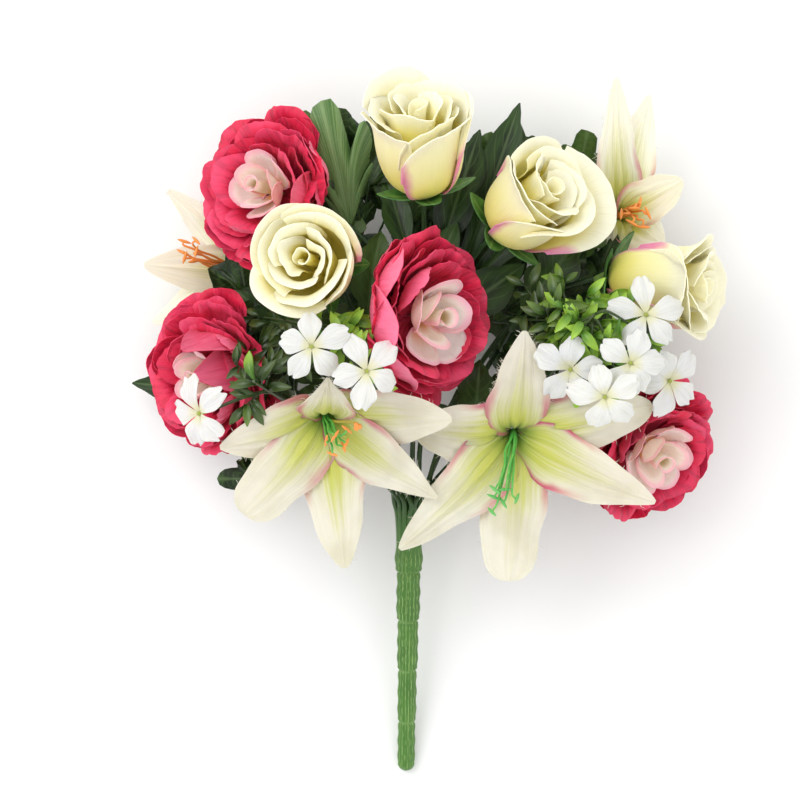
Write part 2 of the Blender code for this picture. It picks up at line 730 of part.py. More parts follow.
# Sprigs: a stalk with small spoon leaves in pairs, and a twig to each floret
def build_sprig(name, sprig):
    foot = np.asarray(sprig["foot"], float)
    top = np.asarray(sprig["top"], float)
    axis = unit(top - foot)
    side, other = square_to(axis)
    shapes = [tube([foot, (foot + top) / 2, top], (1.8, 1.5, 1.1), 5)]
    for k in range(sprig["leaves"]):
        turn = 2.4 * k
        level = 0.3 + 0.7 * k / (sprig["leaves"] - 1)
        outward = math.cos(turn) * side + math.sin(turn) * other
        root = foot + level * (top - foot)
        length = 26 - 6 * level
        tip = root + length * (0.85 * outward + 0.55 * axis)
        across = unit(np.cross(axis, outward))

        def surface(u, v, root=root, tip=tip, across=across):
            half = 0.9 + 4.2 * math.sin(math.pi * u**1.5)
            return root + u * (tip - root) + v * half * across + 2.5 * math.sin(math.pi * u) * axis

        shapes.append(blade(surface, 2, 1, 0.8))
    for k, floret in enumerate(sprig["florets"]):
        facing = unit(FLORETS[floret]["faces"])
        end = np.asarray(FLORETS[floret]["middle"], float) - (FLORET_TUBE + GAP) * facing
        start = foot + (0.35 + 0.1 * k) * (top - foot)
        path = (start, start + 0.4 * np.linalg.norm(end - start) * axis, end - 8 * facing, end)
        line = [bezier(path, t) for t in (0, 0.5, 1)]
        shapes.append(tube(line, (1.2, 1.1, 1.0), 4, facing))
    shapes = [(points - foot, faces) for points, faces in shapes]
    place = empty(name + "_place", BOUQUET, Matrix.Translation(foot * MM))
    piece(name, fuse(name, shapes), "sprig", place)


build_stem_frame()
for bloom_name, bloom in ROSES.items():
    build_rose(bloom_name, bloom)
for bloom_name, bloom in RANUNCULUS.items():
    build_ranunculus(bloom_name, bloom)
for bloom_name, bloom in LILIES.items():
    build_lily(bloom_name, bloom, "stamen" if bloom_name == "lily_lower_right" else "orange stamen")
for bloom_name, bloom in FLORETS.items():
    build_floret(bloom_name, bloom)
for spray_name, spray in SPRAYS.items():
    build_spray(spray_name, *spray)
for sprig_name, sprig_plan in SPRIGS.items():
    build_sprig(sprig_name, sprig_plan)
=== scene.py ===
from math import atan2, copysign, cos, exp, pi, radians, sin, sqrt

import bpy
import numpy as np
from mathutils import Matrix, Vector
from numpy.linalg import norm


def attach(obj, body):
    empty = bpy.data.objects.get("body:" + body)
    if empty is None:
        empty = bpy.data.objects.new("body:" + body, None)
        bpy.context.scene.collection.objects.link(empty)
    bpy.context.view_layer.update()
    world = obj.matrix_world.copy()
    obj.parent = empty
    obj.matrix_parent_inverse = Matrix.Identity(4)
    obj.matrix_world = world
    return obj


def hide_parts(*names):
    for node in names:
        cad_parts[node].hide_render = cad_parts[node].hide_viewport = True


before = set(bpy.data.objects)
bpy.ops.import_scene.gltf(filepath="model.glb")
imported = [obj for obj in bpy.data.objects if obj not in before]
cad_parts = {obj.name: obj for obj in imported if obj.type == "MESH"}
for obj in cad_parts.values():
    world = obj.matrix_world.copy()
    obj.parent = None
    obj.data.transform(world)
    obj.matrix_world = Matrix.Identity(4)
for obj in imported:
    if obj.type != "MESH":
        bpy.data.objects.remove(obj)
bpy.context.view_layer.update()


# Floor, light and camera: the bouquet lies on a plain near-white sheet under soft studio light.
# A long lens looks straight down on it, as the photo's does on the upright bunch.
MM = 0.001
PHOTO_WIDTH = 0.496
AIM = (-0.01517, 0.01545, 0.1)
LENS_AWAY = 6.0
SENSOR = 36.0
FLOOR_HALF = 4.0
FLOOR_COLOUR = (0.95, 0.95, 0.95, 1)
FLOOR_ROUGHNESS = 0.9
SKY_LIGHT = 1.02
LAMPS = (
    ("window", (-1.7, 1.3, 2.6), 2.2, 44.0),
    ("fill", (1.9, -0.9, 2.2), 2.2, 7.0),
)


def put(name, data):
    """Object in the scene that shows some data."""
    made = bpy.data.objects.new(name, data)
    bpy.context.scene.collection.objects.link(made)
    return made


floor_mesh = bpy.data.meshes.new("studio_floor")
corners = [(x * FLOOR_HALF, y * FLOOR_HALF, 0.0) for x, y in ((-1, -1), (1, -1), (1, 1), (-1, 1))]
floor_mesh.from_pydata(corners, [], [(0, 1, 2, 3)])
floor_finish = bpy.data.materials.new("studio floor")
floor_finish.use_nodes = True
floor_shader = floor_finish.node_tree.nodes["Principled BSDF"]
floor_shader.inputs["Base Color"].default_value = FLOOR_COLOUR
floor_shader.inputs["Roughness"].default_value = FLOOR_ROUGHNESS
floor_mesh.materials.append(floor_finish)
put("studio_floor", floor_mesh)

sky = bpy.data.worlds.new("studio")
sky.use_nodes = True
sky.node_tree.nodes["Background"].inputs["Color"].default_value = (1.0, 1.0, 1.0, 1)
sky.node_tree.nodes["Background"].inputs["Strength"].default_value = SKY_LIGHT
bpy.context.scene.world = sky
for name, spot, width, power in LAMPS:
    lamp = bpy.data.lights.new(name, "AREA")
    lamp.shape = "SQUARE"
    lamp.size = width
    lamp.energy = power
    stand = put(name, lamp)
    stand.location = spot
    stand.rotation_euler = (Vector(AIM) - Vector(spot)).to_track_quat("-Z", "Y").to_euler()

lens = bpy.data.cameras.new("lens")
lens.sensor_width = SENSOR
lens.lens = SENSOR * LENS_AWAY / PHOTO_WIDTH
camera = put("lens", lens)
camera.location = (AIM[0], AIM[1], AIM[2] + LENS_AWAY)
bpy.context.scene.camera = camera
bpy.context.scene.view_settings.view_transform = "Standard"


# Stem frame: one soft plastic moulding, with wire inside its stems. Fifteen stems run together
# in a ribbed handle of five segments, which was moulded in one with them.
MIDDLE = np.array((0.64, 2.12, 0.0))
HANDLE_TOP = np.array((-10.0, -62.0, 46.0))
HANDLE_END = np.array((-12.0, -218.5, 3.2))
HANDLE_THROAT = ((1.0, 2.0, 0.0), (5.0, 4.6, 0.0), (11.0, 6.8, 0.0), (16.0, 7.7, 0.5))
HANDLE_SEGMENTS = ((33.0, 8.1), (32.0, 6.9), (32.5, 6.1), (34.0, 5.5), (29.8, 5.1))
HANDLE_TIP = ((0.0, 0.93), (1.2, 0.8), (2.2, 0.58), (2.9, 0.3), (3.1, 0.02))
HANDLE_SIDES = 72
HANDLE_RIBS = 18
RIB_HEIGHT = 0.036
RIB_BLUNTNESS = 0.6
SEGMENT_RINGS = 24
WAIST_LENGTH = 0.8
WAIST_DEPTH = 0.1
BUNDLE = ((18.0, 6.0), (6.0, 6.3), (-5.0, 7.6), (-16.0, 10.0))
STEM_RADIUS = 1.6
STEM_SWELL = (1.2, 1.25, 1.1, 1.0, 1.0, 1.0, 1.0, 1.0)
STEM_GAPS = {"rose": 10.6, "ranunculus": 10.6, "lily": 3.3, "sprig": 0.3}
SHARP_EDGE = 50
# Foot, the way it faces, how wide it opens and how tall it is.
ROSES = {
    "rose_top": ((-1.5, 143, 100), (-0.05, 0.84, 0.54), 1.0, 1.25),
    "rose_left": ((-64, 96, 120), (-0.25, 0.1, 0.96), 1.03, 1.0),
    "rose_upper_right": ((47, 120, 92), (0.62, 0.46, 0.64), 0.97, 1.12),
    "rose_right": ((115, 88, 78), (0.93, -0.08, 0.36), 0.86, 1.3),
}
# Foot, the way it faces, its size and its heart's size.
RANUNCULUS = {
    "ranunculus_upper_left": ((-89, 141, 70), (-0.55, 0.17, 0.82), 1.0, 0.76),
    "ranunculus_centre": ((-10, 65, 115), (0.68, -0.05, 0.73), 1.03, 0.98),
    "ranunculus_lower_left": ((-126, 30, 64), (-0.6, -0.12, 0.79), 0.97, 0.68),
    "ranunculus_lower_right": ((134, -13, 57), (0.5, -0.45, 0.74), 0.91, 0.84),
}
# The pale value of a lily paints its cloth paler: painted light against the shade that falls on the low far
# lilies.
LILIES = {
    "lily_lower_right": {
        "foot": (54, -3, 92), "faces": (0.05, -0.3, 0.95), "anthers": (46, -48, 138), "width": 1.0,
        "tips": (
            (61, 56, 138), (140, 10, 121), (142, -50, 116),
            (52, -99, 100), (-16, -79, 110), (-8, -4, 116),
        ),
        "blunt": (0.85, 0.6, 0.85, 0.42, 0.85, 0.6), "pale": 0.0, "fray": 26,
    },
    "lily_lower_left": {
        "foot": (-62, 10, 100), "faces": (0.0, -0.45, 0.89), "anthers": (-53, -14, 152), "width": 1.0,
        "tips": (
            (-60, 27, 165), (16, 2, 152), (7, -47, 126),
            (-50, -91, 104), (-112, -58, 112), (-127, -16, 126),
        ),
        "blunt": (1.2, 0.7, 0.95, 0.72, 0.42, 0.85), "pale": 0.0, "fray": 26,
    },
    "lily_far_left": {
        "foot": (-98, 92, 18), "faces": (-0.75, 0.1, 0.65), "anthers": (-150, 106, 62), "width": 0.86,
        "tips": (
            (-161, 145, 40), (-112, 142, 34), (-78, 104, 50),
            (-96, 58, 34), (-171, 62, 26), (-176, 98, 46),
        ),
        "blunt": (0.8, 0.8, 0.8, 0.8, 0.8, 0.7), "pale": 1.0, "fray": 8,
    },
    "lily_far_right": {
        "foot": (117, 126, 36), "faces": (0.35, 0.2, 0.9), "anthers": (132, 130, 84), "width": 0.78,
        "tips": (
            (119, 214, 68), (140, 204, 50), (160, 150, 80),
            (149, 110, 54), (112, 92, 40), (84, 142, 54),
        ),
        "blunt": (0.9, 0.9, 0.7, 0.8, 0.8, 0.8), "pale": 0.8, "fray": 8,
    },
}
# Foot and top.
SPRIGS = {
    "sprig_right": ((78, 30, 74), (97, 56, 122)),
    "sprig_left": ((-60, 40, 120), (-54, 50, 150)),
    "sprig_far_left": ((-88, 14, 98), (-106, 25, 140)),
}
CARRIED = {name: (foot, faces) for name, (foot, faces, *_) in (*ROSES.items(), *RANUNCULUS.items())}
CARRIED.update({name: (lily["foot"], lily["faces"]) for name, lily in LILIES.items()})
CARRIED.update({name: (foot, np.subtract(top, foot)) for name, (foot, top) in SPRIGS.items()})


def both_ways(operation):
    """An operator's two methods: with the wire before the other value, and after it."""
    return (
        lambda wire, other: wire.board.maths(operation, wire, other),
        lambda wire, other: wire.board.maths(operation, other, wire),
    )


class Wire:
    """A socket in a node tree, on which arithmetic adds the tree's own Math nodes."""

    __add__, __radd__ = both_ways("ADD")
    __sub__, __rsub__ = both_ways("SUBTRACT")
    __mul__, __rmul__ = both_ways("MULTIPLY")
    __truediv__, __rtruediv__ = both_ways("DIVIDE")
    __pow__, __rpow__ = both_ways("POWER")

    def __init__(self, board, socket):
        self.board = board
        self.socket = socket

    def __abs__(self):
        return self.board.maths("ABSOLUTE", self)


def is_vector(value):
    return value.socket.type == "VECTOR" if isinstance(value, Wire) else hasattr(value, "__len__")


def linear(colour):
    """Colour for a socket from its values out of 255, as a screen shows it. A wire stays as it is."""
    if isinstance(colour, Wire):
        return colour
    parts = [value / 255 for value in colour]
    parts = [part / 12.92 if part <= 0.04045 else ((part + 0.055) / 1.055) ** 2.4 for part in parts]
    return (*parts, 1.0)


class Board:
    """A node tree that is being wired up."""

    def __init__(self, tree):
        self.tree = tree

    def node(self, kind, settings=None, sockets=None, output=0):
        made = self.tree.nodes.new(kind)
        for label, value in (settings or {}).items():
            setattr(made, label, value)
        for label, value in (sockets or {}).items():
            if isinstance(value, Wire):
                self.tree.links.new(value.socket, made.inputs[label])
            else:
                made.inputs[label].default_value = value
        shown = [socket for socket in made.outputs if socket.enabled]
        if isinstance(output, str):
            output = [socket.name for socket in shown].index(output)
        return Wire(self, shown[output])

    def maths(self, operation, *values):
        if not any(is_vector(value) for value in values):
            return self.node("ShaderNodeMath", {"operation": operation}, dict(enumerate(values)))
        if operation == "MULTIPLY" and not all(is_vector(value) for value in values):
            share, arrow = sorted(values, key=is_vector)
            return self.node("ShaderNodeVectorMath", {"operation": "SCALE"}, {0: arrow, 3: share})
        return self.node("ShaderNodeVectorMath", {"operation": operation}, dict(enumerate(values)))

    def given(self, label):
        """A named input of the tree."""
        return self.node("NodeGroupInput", output=label)

    def mark(self, label, vector=False):
        """A value that is kept on the mesh under a name."""
        if self.tree.type == "SHADER":
            return self.node("ShaderNodeAttribute", {"attribute_name": label}, output="Fac")
        kind = {"data_type": "FLOAT_VECTOR" if vector else "FLOAT"}
        return self.node("GeometryNodeInputNamedAttribute", kind, {"Name": label})

    def marks(self, *labels):
        return [self.mark(label) for label in labels]

    def part_of(self, arrow, label):
        return self.node("ShaderNodeSeparateXYZ", {}, {0: arrow}, label)

    def arrow(self, x, y, z):
        return self.node("ShaderNodeCombineXYZ", {}, {0: x, 1: y, 2: z})

    def rise(self, value, low, high):
        """0 below low and 1 above high, with a soft step between. It falls where low is above high."""
        if low > high:
            return 1 - self.rise(value, high, low)
        settings = {"interpolation_type": "SMOOTHSTEP"}
        return self.node("ShaderNodeMapRange", settings, {0: value, 1: low, 2: high})

    def place(self):
        return self.node("ShaderNodeTexCoord", output="Object")

    def noise(self, arrow, scale, detail=2.0):
        return self.node("ShaderNodeTexNoise", {}, {"Vector": arrow, "Scale": scale, "Detail": detail})

    def grain(self, across, along, seed, detail=3.0):
        """Noise drawn out along a piece: how fine across and along it, and its shift from piece to piece."""
        u, v, luck = self.marks("along", "across", "chance")
        return self.noise(self.arrow(v * across, u * along, luck * seed), 1.0, detail)

    def coats(self, colour, *coats):
        """Colour under coats of other colours: each is (share, colour)."""
        for share, coat in coats:
            sockets = {0: share, 6: linear(colour), 7: linear(coat)}
            colour = self.node("ShaderNodeMix", {"data_type": "RGBA"}, sockets)
        return colour


def tree_with(name, **inputs):
    """Geometry Nodes tree that is still empty, with the kinds of its inputs."""
    tree = bpy.data.node_groups.new(name, "GeometryNodeTree")
    for label, kind in {"Plan": "Geometry", **inputs, "Finish": "Material"}.items():
        tree.interface.new_socket(label, in_out="INPUT", socket_type="NodeSocket" + kind)
    tree.interface.new_socket("Made", in_out="OUTPUT", socket_type="NodeSocketGeometry")
    return Board(tree)


def close_tree(board, shape):
    """The tree's end: real geometry with its finish."""
    real = board.node("GeometryNodeRealizeInstances", {}, {0: shape})
    done = board.node("GeometryNodeSetMaterial", {}, {"Geometry": real, "Material": board.given("Finish")})
    board.tree.links.new(done.socket, board.tree.nodes.new("NodeGroupOutput").inputs[0])


def grown(plan, board, cloth=0.0, **values):
    """Plain mesh of what a tree grows on a plan. Its sheets get a thickness where cloth is given."""
    maker = put("maker", plan)
    growth = maker.modifiers.new("growth", "NODES")
    growth.node_group = board.tree
    for item in board.tree.interface.items_tree:
        if item.in_out == "INPUT" and item.name in values:
            growth[item.identifier] = values[item.name]
    if cloth:
        wall = maker.modifiers.new("cloth", "SOLIDIFY")
        wall.thickness = cloth
        wall.offset = 0.0
    graph = bpy.context.evaluated_depsgraph_get()
    mesh = bpy.data.meshes.new_from_object(maker.evaluated_get(graph))
    maker.modifiers.clear()
    bpy.data.objects.remove(maker)
    return mesh


def add_marks(mesh, marks):
    for label, values in marks.items():
        values = np.asarray(values, float)
        kind, key = ("FLOAT_VECTOR", "vector") if values.ndim == 2 else ("FLOAT", "value")
        mesh.attributes.new(label, kind, "POINT").data.foreach_set(key, values.ravel())


def finish(name, paint, relief, **steady):
    """Finish whose paint(board) gives colour, roughness and height in millimetres, with steady values."""
    made = bpy.data.materials.new(name)
    made.use_nodes = True
    board = Board(made.node_tree)
    shader = made.node_tree.nodes["Principled BSDF"]
    colour, roughness, height = paint(board)
    bump = {"Strength": relief, "Distance": MM, "Height": height}
    raised = board.node("ShaderNodeBump", {}, bump, "Normal")
    for wire, label in ((colour, "Base Color"), (roughness, "Roughness"), (raised, "Normal")):
        made.node_tree.links.new(wire.socket, shader.inputs[label])
    for label, value in steady.items():
        shader.inputs[label.replace("_", " ")].default_value = value
    return made


def laid(name, mesh, place, *finishes):
    """Finished piece: its place goes into its mesh."""
    mesh.name = name
    mesh.transform(place)
    while len(mesh.materials) < len(finishes):
        mesh.materials.append(None)
    for index, dress in enumerate(finishes):
        mesh.materials[index] = dress
    mesh.shade_smooth()
    mesh.set_sharp_from_angle(angle=radians(SHARP_EDGE))
    return put(name, mesh)


def unit(vector):
    return np.asarray(vector, float) / norm(vector)


def bezier(points, t):
    a, b, c, d = (np.asarray(point, float) for point in points)
    t = np.asarray(t, float)[..., None]
    s = 1 - t
    return s**3 * a + 3 * s * s * t * b + 3 * s * t * t * c + t**3 * d


def square_to(axis):
    """Two directions square to an axis and to each other, right-handed with it."""
    axis = unit(axis)
    side = unit(np.cross((0, 1, 0) if abs(axis[1]) < 0.9 else (0, 0, 1), axis))
    return side, np.cross(axis, side)


def spoke(turn, side, other):
    return cos(turn) * side + sin(turn) * other


def stem_line(name):
    """Points along a stem's middle line, from the handle to just under what it carries."""
    foot, faces = CARRIED[name]
    axis = unit(faces)
    end = foot - STEM_GAPS[name.split("_")[0]] * axis
    start = HANDLE_TOP + (0.04 * end[0], -3.0, 0.05 * (end[2] - 75))
    away = end - start
    length = norm(away)
    first = start + (0.12 * away[0], 0.34 * length, 0.06 * away[2] + 0.02 * length)
    return bezier((start, first, end - 0.28 * length * axis, end), np.linspace(0, 1, 5))


def stalk_tree():
    """Round stalks through the points of a plan, as thick as its points say."""
    board = tree_with("stalks", Sides="Int", Steps="Int")
    line = board.node("GeometryNodeMeshToCurve", {}, {0: board.given("Plan")})
    line = board.node("GeometryNodeCurveSplineType", {"spline_type": "CATMULL_ROM"}, {0: line})
    line = board.node("GeometryNodeSetSplineResolution", {}, {0: line, "Resolution": board.given("Steps")})
    round_one = board.node("GeometryNodeCurvePrimitiveCircle", {}, {0: board.given("Sides"), 4: 1.0})
    sockets = {"Curve": line, "Profile Curve": round_one, "Scale": board.mark("thick"), "Fill Caps": True}
    close_tree(board, board.node("GeometryNodeCurveToMesh", {}, sockets))
    return board


def stalks(lines, dress, sides, steps):
    """Mesh of round stalks: each line is (points, thickness at each, tint)."""
    points, edges, thick, tints = [], [], [], []
    for line, thickness, tint in lines:
        edges += [(len(points) + i, len(points) + i + 1) for i in range(len(line) - 1)]
        points += np.asarray(line, float).tolist()
        thick += np.broadcast_to(thickness, len(line)).tolist()
        tints += [tint] * len(line)
    plan = bpy.data.meshes.new("stalk plan")
    plan.from_pydata(points, edges, [])
    add_marks(plan, {"thick": thick, "tint": tints})
    return grown(plan, STALKS, Sides=sides, Steps=steps, Finish=dress)


def above_floor(mesh):
    """Lifts the points of a mesh in millimetres that would lie under the surface."""
    places = np.empty(len(mesh.vertices) * 3)
    mesh.vertices.foreach_get("co", places)
    places[2::3] = np.maximum(places[2::3], 0.0)
    mesh.vertices.foreach_set("co", places)


def paint_stem(board):
    place = board.place()
    along = board.node("ShaderNodeVectorMath", {"operation": "DOT_PRODUCT"}, {0: place, 1: down}, "Value")
    streak = board.noise(place - along * 0.985 * board.arrow(*down), 2300.0, 1.0)
    cloud = board.noise(place, 60.0)
    low = board.rise(along, 0.02, 0.062)
    # Pale dashes along the rib crests: painted highlight where the ribs catch the light.
    ridge_highlights = board.rise(board.mark("ridge"), 0.0, 0.9) * board.rise(streak, 0.4, 0.55)
    pale = board.coats((84, 122, 60), (low, (170, 200, 118)))
    colour = board.coats(
        (38, 66, 30),
        (low, (66, 116, 34)),
        (0.3 * board.rise(cloud, 0.4, 0.75), (42, 84, 26)),
        (0.38 * ridge_highlights + 0.35 * board.rise(streak, 0.6, 0.7), pale),
        (0.3 * board.mark("waist"), (150, 186, 112)),
    )
    return colour, 0.24 + 0.2 * cloud, streak * 0.5


down = unit(HANDLE_END - HANDLE_TOP)
stem_finish = finish("moulded stem", paint_stem, 0.5)
STALKS = stalk_tree()
whole = Matrix.Translation(Vector(MIDDLE * MM)) @ Matrix.Scale(MM, 4)

side, other = square_to(down)
levels = [(*level, 0.0) for level in HANDLE_THROAT]
start = 0.0
for index, (length, radius) in enumerate(HANDLE_SEGMENTS):
    for part in np.linspace(0.0 if index else 0.6, 1.0, SEGMENT_RINGS, endpoint=False):
        edge = min(part, 1 - part) if index else 1 - part
        waist = exp(-((edge * length / WAIST_LENGTH) ** 2))
        belly = 1 + 0.045 * sin(6 * pi * part) * min(1, 8 * edge) + 0.03 * sin(pi * part)
        levels.append((start + part * length, radius * (1 - WAIST_DEPTH * waist) * belly, 1.0, waist))
    start += length
for ahead, factor in HANDLE_TIP:
    levels.append((start - 0.6 + ahead, radius * factor, 1.0 - 0.3 * ahead, 0.0))
angles = 2 * pi * np.arange(HANDLE_SIDES) / HANDLE_SIDES
ribs = np.cos(HANDLE_RIBS * angles)
spokes = np.cos(angles)[:, None] * side + np.sin(angles)[:, None] * other
rings = []
for along, radius, ribbed, _ in levels:
    reach = radius * (1 + RIB_HEIGHT * ribbed * np.sign(ribs) * np.abs(ribs) ** RIB_BLUNTNESS)
    rings.append(HANDLE_TOP + along * down + reach[:, None] * spokes)
index = np.arange(len(rings) * HANDLE_SIDES).reshape(-1, HANDLE_SIDES)
after = np.roll(index, -1, axis=1)
faces = np.stack([index[:-1], after[:-1], after[1:], index[1:]], -1).reshape(-1, 4).tolist()
faces += [index[0, ::-1].tolist(), index[-1].tolist()]
handle_mesh = bpy.data.meshes.new("handle")
handle_mesh.from_pydata(np.concatenate(rings).tolist(), [], faces)
above_floor(handle_mesh)
add_marks(handle_mesh, {
    "waist": np.repeat([level[3] for level in levels], HANDLE_SIDES),
    "ridge": np.concatenate([level[2] * ribs for level in levels]),
})
handle = laid("ribbed_handle", handle_mesh, whole, stem_finish)
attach(handle, "root")
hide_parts("stem_frame")

stem_lines = [stem_line(name) for name in CARRIED]
reach = np.array([line[2] for line in stem_lines]) - HANDLE_TOP
heading = np.arctan2(reach @ other, reach @ side)
places = np.argsort(np.argsort(heading)) * 2 * pi / len(stem_lines)
shift = np.angle(np.mean(np.exp(1j * (heading - places))))
lines = []
for line, angle in zip(stem_lines, places + shift):
    bundle = [HANDLE_TOP + along * down + radius * spoke(angle, side, other) for along, radius in BUNDLE]
    lines.append(([*bundle, *line[1:]], np.array(STEM_SWELL) * STEM_RADIUS, 0.0))
stems = laid("bouquet_stems", stalks(lines, stem_finish, sides=12, steps=10), whole, stem_finish)
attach(stems, "root")
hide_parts("stem_frame")


# Calyxes: moulded green cups under the roses and ranunculus, pushed on the stem's end.
# Each rim runs out in five pointed sepals, which lie back against the petals.
SEPALS = 5
SEPAL_ROOT = 3.0
SEPAL_THICK = 0.8
# Reach, rise and half width of the sepals.
CALYXES = {"rose": (33.0, 12.0, 8.0), "ranunculus": (14.0, 0.0, 5.0)}
CUP = ((0, 0, -10.3), (0, 0, -7.5), (0, 0, -5), (0, 0, -2.4))
CUP_RADII = (1.7, 3.3, 4.6, 6.4)


def bloom_place(foot, faces, turn=0.0):
    """Matrix that stands a bloom in millimetres along the way that it faces."""
    axis = unit(faces)
    columns = np.column_stack([*square_to(axis), axis, MIDDLE + foot]) * MM
    return Matrix([*columns.tolist(), (0, 0, 0, 1)]) @ Matrix.Rotation(radians(turn), 4, "Z")


def spun(grid, turn):
    """A sheet's points, turned round the bloom's own axis."""
    return grid @ np.array(((cos(turn), sin(turn), 0), (-sin(turn), cos(turn), 0), (0, 0, 1)))


def across_grid(rows, cols, closer=1.0):
    """Places along and across a sheet. Its rows lie closer toward the tip where closer is above 1."""
    return np.meshgrid(1 - (1 - np.linspace(0, 1, rows)) ** closer, np.linspace(-1, 1, cols), indexing="ij")


def normals_of(grid):
    normal = np.cross(np.gradient(grid, axis=0), np.gradient(grid, axis=1))
    return normal / np.maximum(norm(normal, axis=2, keepdims=True), 1e-9)


def sheet_mesh(name, sheets, thick):
    """Thin closed sheets in one mesh: each is (points, rank, chance, marks of its own if it has any)."""
    points, quads = [], []
    marks = {"along": [], "across": [], "rank": [], "chance": []}
    first = 0
    for grid, rank, luck, *own in sheets:
        rows, cols = grid.shape[:2]
        wall = normals_of(grid) * thick / 2
        shell = np.concatenate([grid + wall, grid - wall]).reshape(-1, 3)
        index = np.arange(rows * cols).reshape(rows, cols) + first
        front = np.stack([index[:-1, :-1], index[1:, :-1], index[1:, 1:], index[:-1, 1:]], -1).reshape(-1, 4)
        rim = np.concatenate([index[:-1, 0], index[-1, :-1], index[:0:-1, -1], index[0, :0:-1]])
        after = np.roll(rim, -1)
        edge = np.stack([after, rim, rim + rows * cols, after + rows * cols], -1)
        points.append(shell)
        quads += [front, front[:, ::-1] + rows * cols, edge]
        along, across = across_grid(rows, cols)
        given = {"along": along, "across": across, "rank": rank, "chance": luck, **(own[0] if own else {})}
        for label, values in marks.items():
            values.append(np.tile(np.broadcast_to(given[label], (rows, cols)).ravel(), 2))
        first += len(shell)
    mesh = bpy.data.meshes.new(name)
    mesh.from_pydata(np.concatenate(points).tolist(), [], np.concatenate(quads).tolist())
    add_marks(mesh, {label: np.concatenate(values) for label, values in marks.items()})
    return mesh


def sepal_sheets(tip, rise, half):
    u, v = across_grid(14, 7)
    sheets = []
    for k in range(SEPALS):
        reach = SEPAL_ROOT + (tip - SEPAL_ROOT) * u
        width = half * (np.sin(pi * np.minimum(1, 0.25 + 0.75 * u)) ** 0.8) + 0.3
        climb = rise * u**1.6 - 2.3 + 0.5 * np.abs(v) * width * (1 - u)
        grid = np.stack([reach, v * width, climb], -1)
        sheets.append((spun(grid, 2 * pi * k / SEPALS), 0.0, chance.random()))
    return sheets


def paint_calyx(board):
    vein = board.rise(abs(board.mark("across")), 0.0, 0.22)
    cloud = board.noise(board.place(), 160.0)
    colour = board.coats(
        (58, 104, 44),
        (board.rise(cloud, 0.35, 0.7), (86, 138, 60)),
        (0.5 - 0.5 * vein, (150, 178, 96)),
    )
    return colour, 0.4 + 0.2 * cloud, vein * 0.3 + cloud * 0.3


chance = np.random.default_rng(11)
calyx_finish = finish("moulded calyx", paint_calyx, 0.4)
for name, (foot, faces, *_) in (*ROSES.items(), *RANUNCULUS.items()):
    sepals = sheet_mesh(name, sepal_sheets(*CALYXES[name.split("_")[0]]), SEPAL_THICK)
    cup = stalks([(CUP, CUP_RADII, 0.0)], calyx_finish, sides=20, steps=5)
    for mesh, label in ((sepals, "sepals"), (cup, "cup")):
        made = laid(f"{name}_{label}", mesh, bloom_place(foot, faces), calyx_finish)
        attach(made, "root")
        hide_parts(name + "_calyx")


# Roses: cream satin petals, heat-pressed to cups with rolled lips and glued rank by rank round
# a rolled heart. Their depth is painted yellow, as painted shade and painted glow of light through
# the petals, and the outer petals' side edges are mauve pink.
ROSE_SCROLL = (2.2, 5.6, 7.5)
ROSE_SCROLL_HEIGHT = 51.0
SCROLL_TURNS = 1.1
LIP_START = 0.78
# Petals, radius, height, spread, root, roll of the lip, lean, and step from edge to edge.
ROSE_RANKS = (
    (4, 26.5, 50.0, 60, 1.0, 1.05, 0.0, -2.0),
    (3, 22.5, 52.5, 70, 3.0, 1.0, 0.0, -2.6),
    (3, 15.5, 54.0, 70, 5.0, 0.85, -0.04, -3.2),
    (2, 9.0, 54.0, 84, 7.0, 0.7, -0.08, -2.6),
)
# Turn, lean and share of the height of each outer petal.
ROSE_OUTER = {
    "rose_top": ((-51, 0.0, 1.0), (25, -0.02, 1.02), (122, 0.1, 1.14), (204, 0.06, 1.0)),
    "rose_left": ((-125, 0.14, 0.96), (-26, -0.06, 0.98), (62, -0.02, 1.0), (140, 0.06, 1.0)),
    "rose_upper_right": ((-102, -0.16, 0.92), (-12, 0.72, 1.06), (78, 0.06, 1.04), (165, 0.02, 0.98)),
    "rose_right": ((172, 0.0, 0.98), (-100, 0.06, 1.02), (-10, 0.2, 1.04), (84, 0.1, 1.02)),
}
PETAL_MARKS = (
    "turn", "spread", "step", "droop", "both", "ragged", "ruffle", "crimp", "waves", "roll", "rank", "chance",
)
THIN = {"Subsurface_Weight": 0.45, "Subsurface_Radius": (1.0, 0.9, 0.55), "Subsurface_Scale": 4.0 * MM}


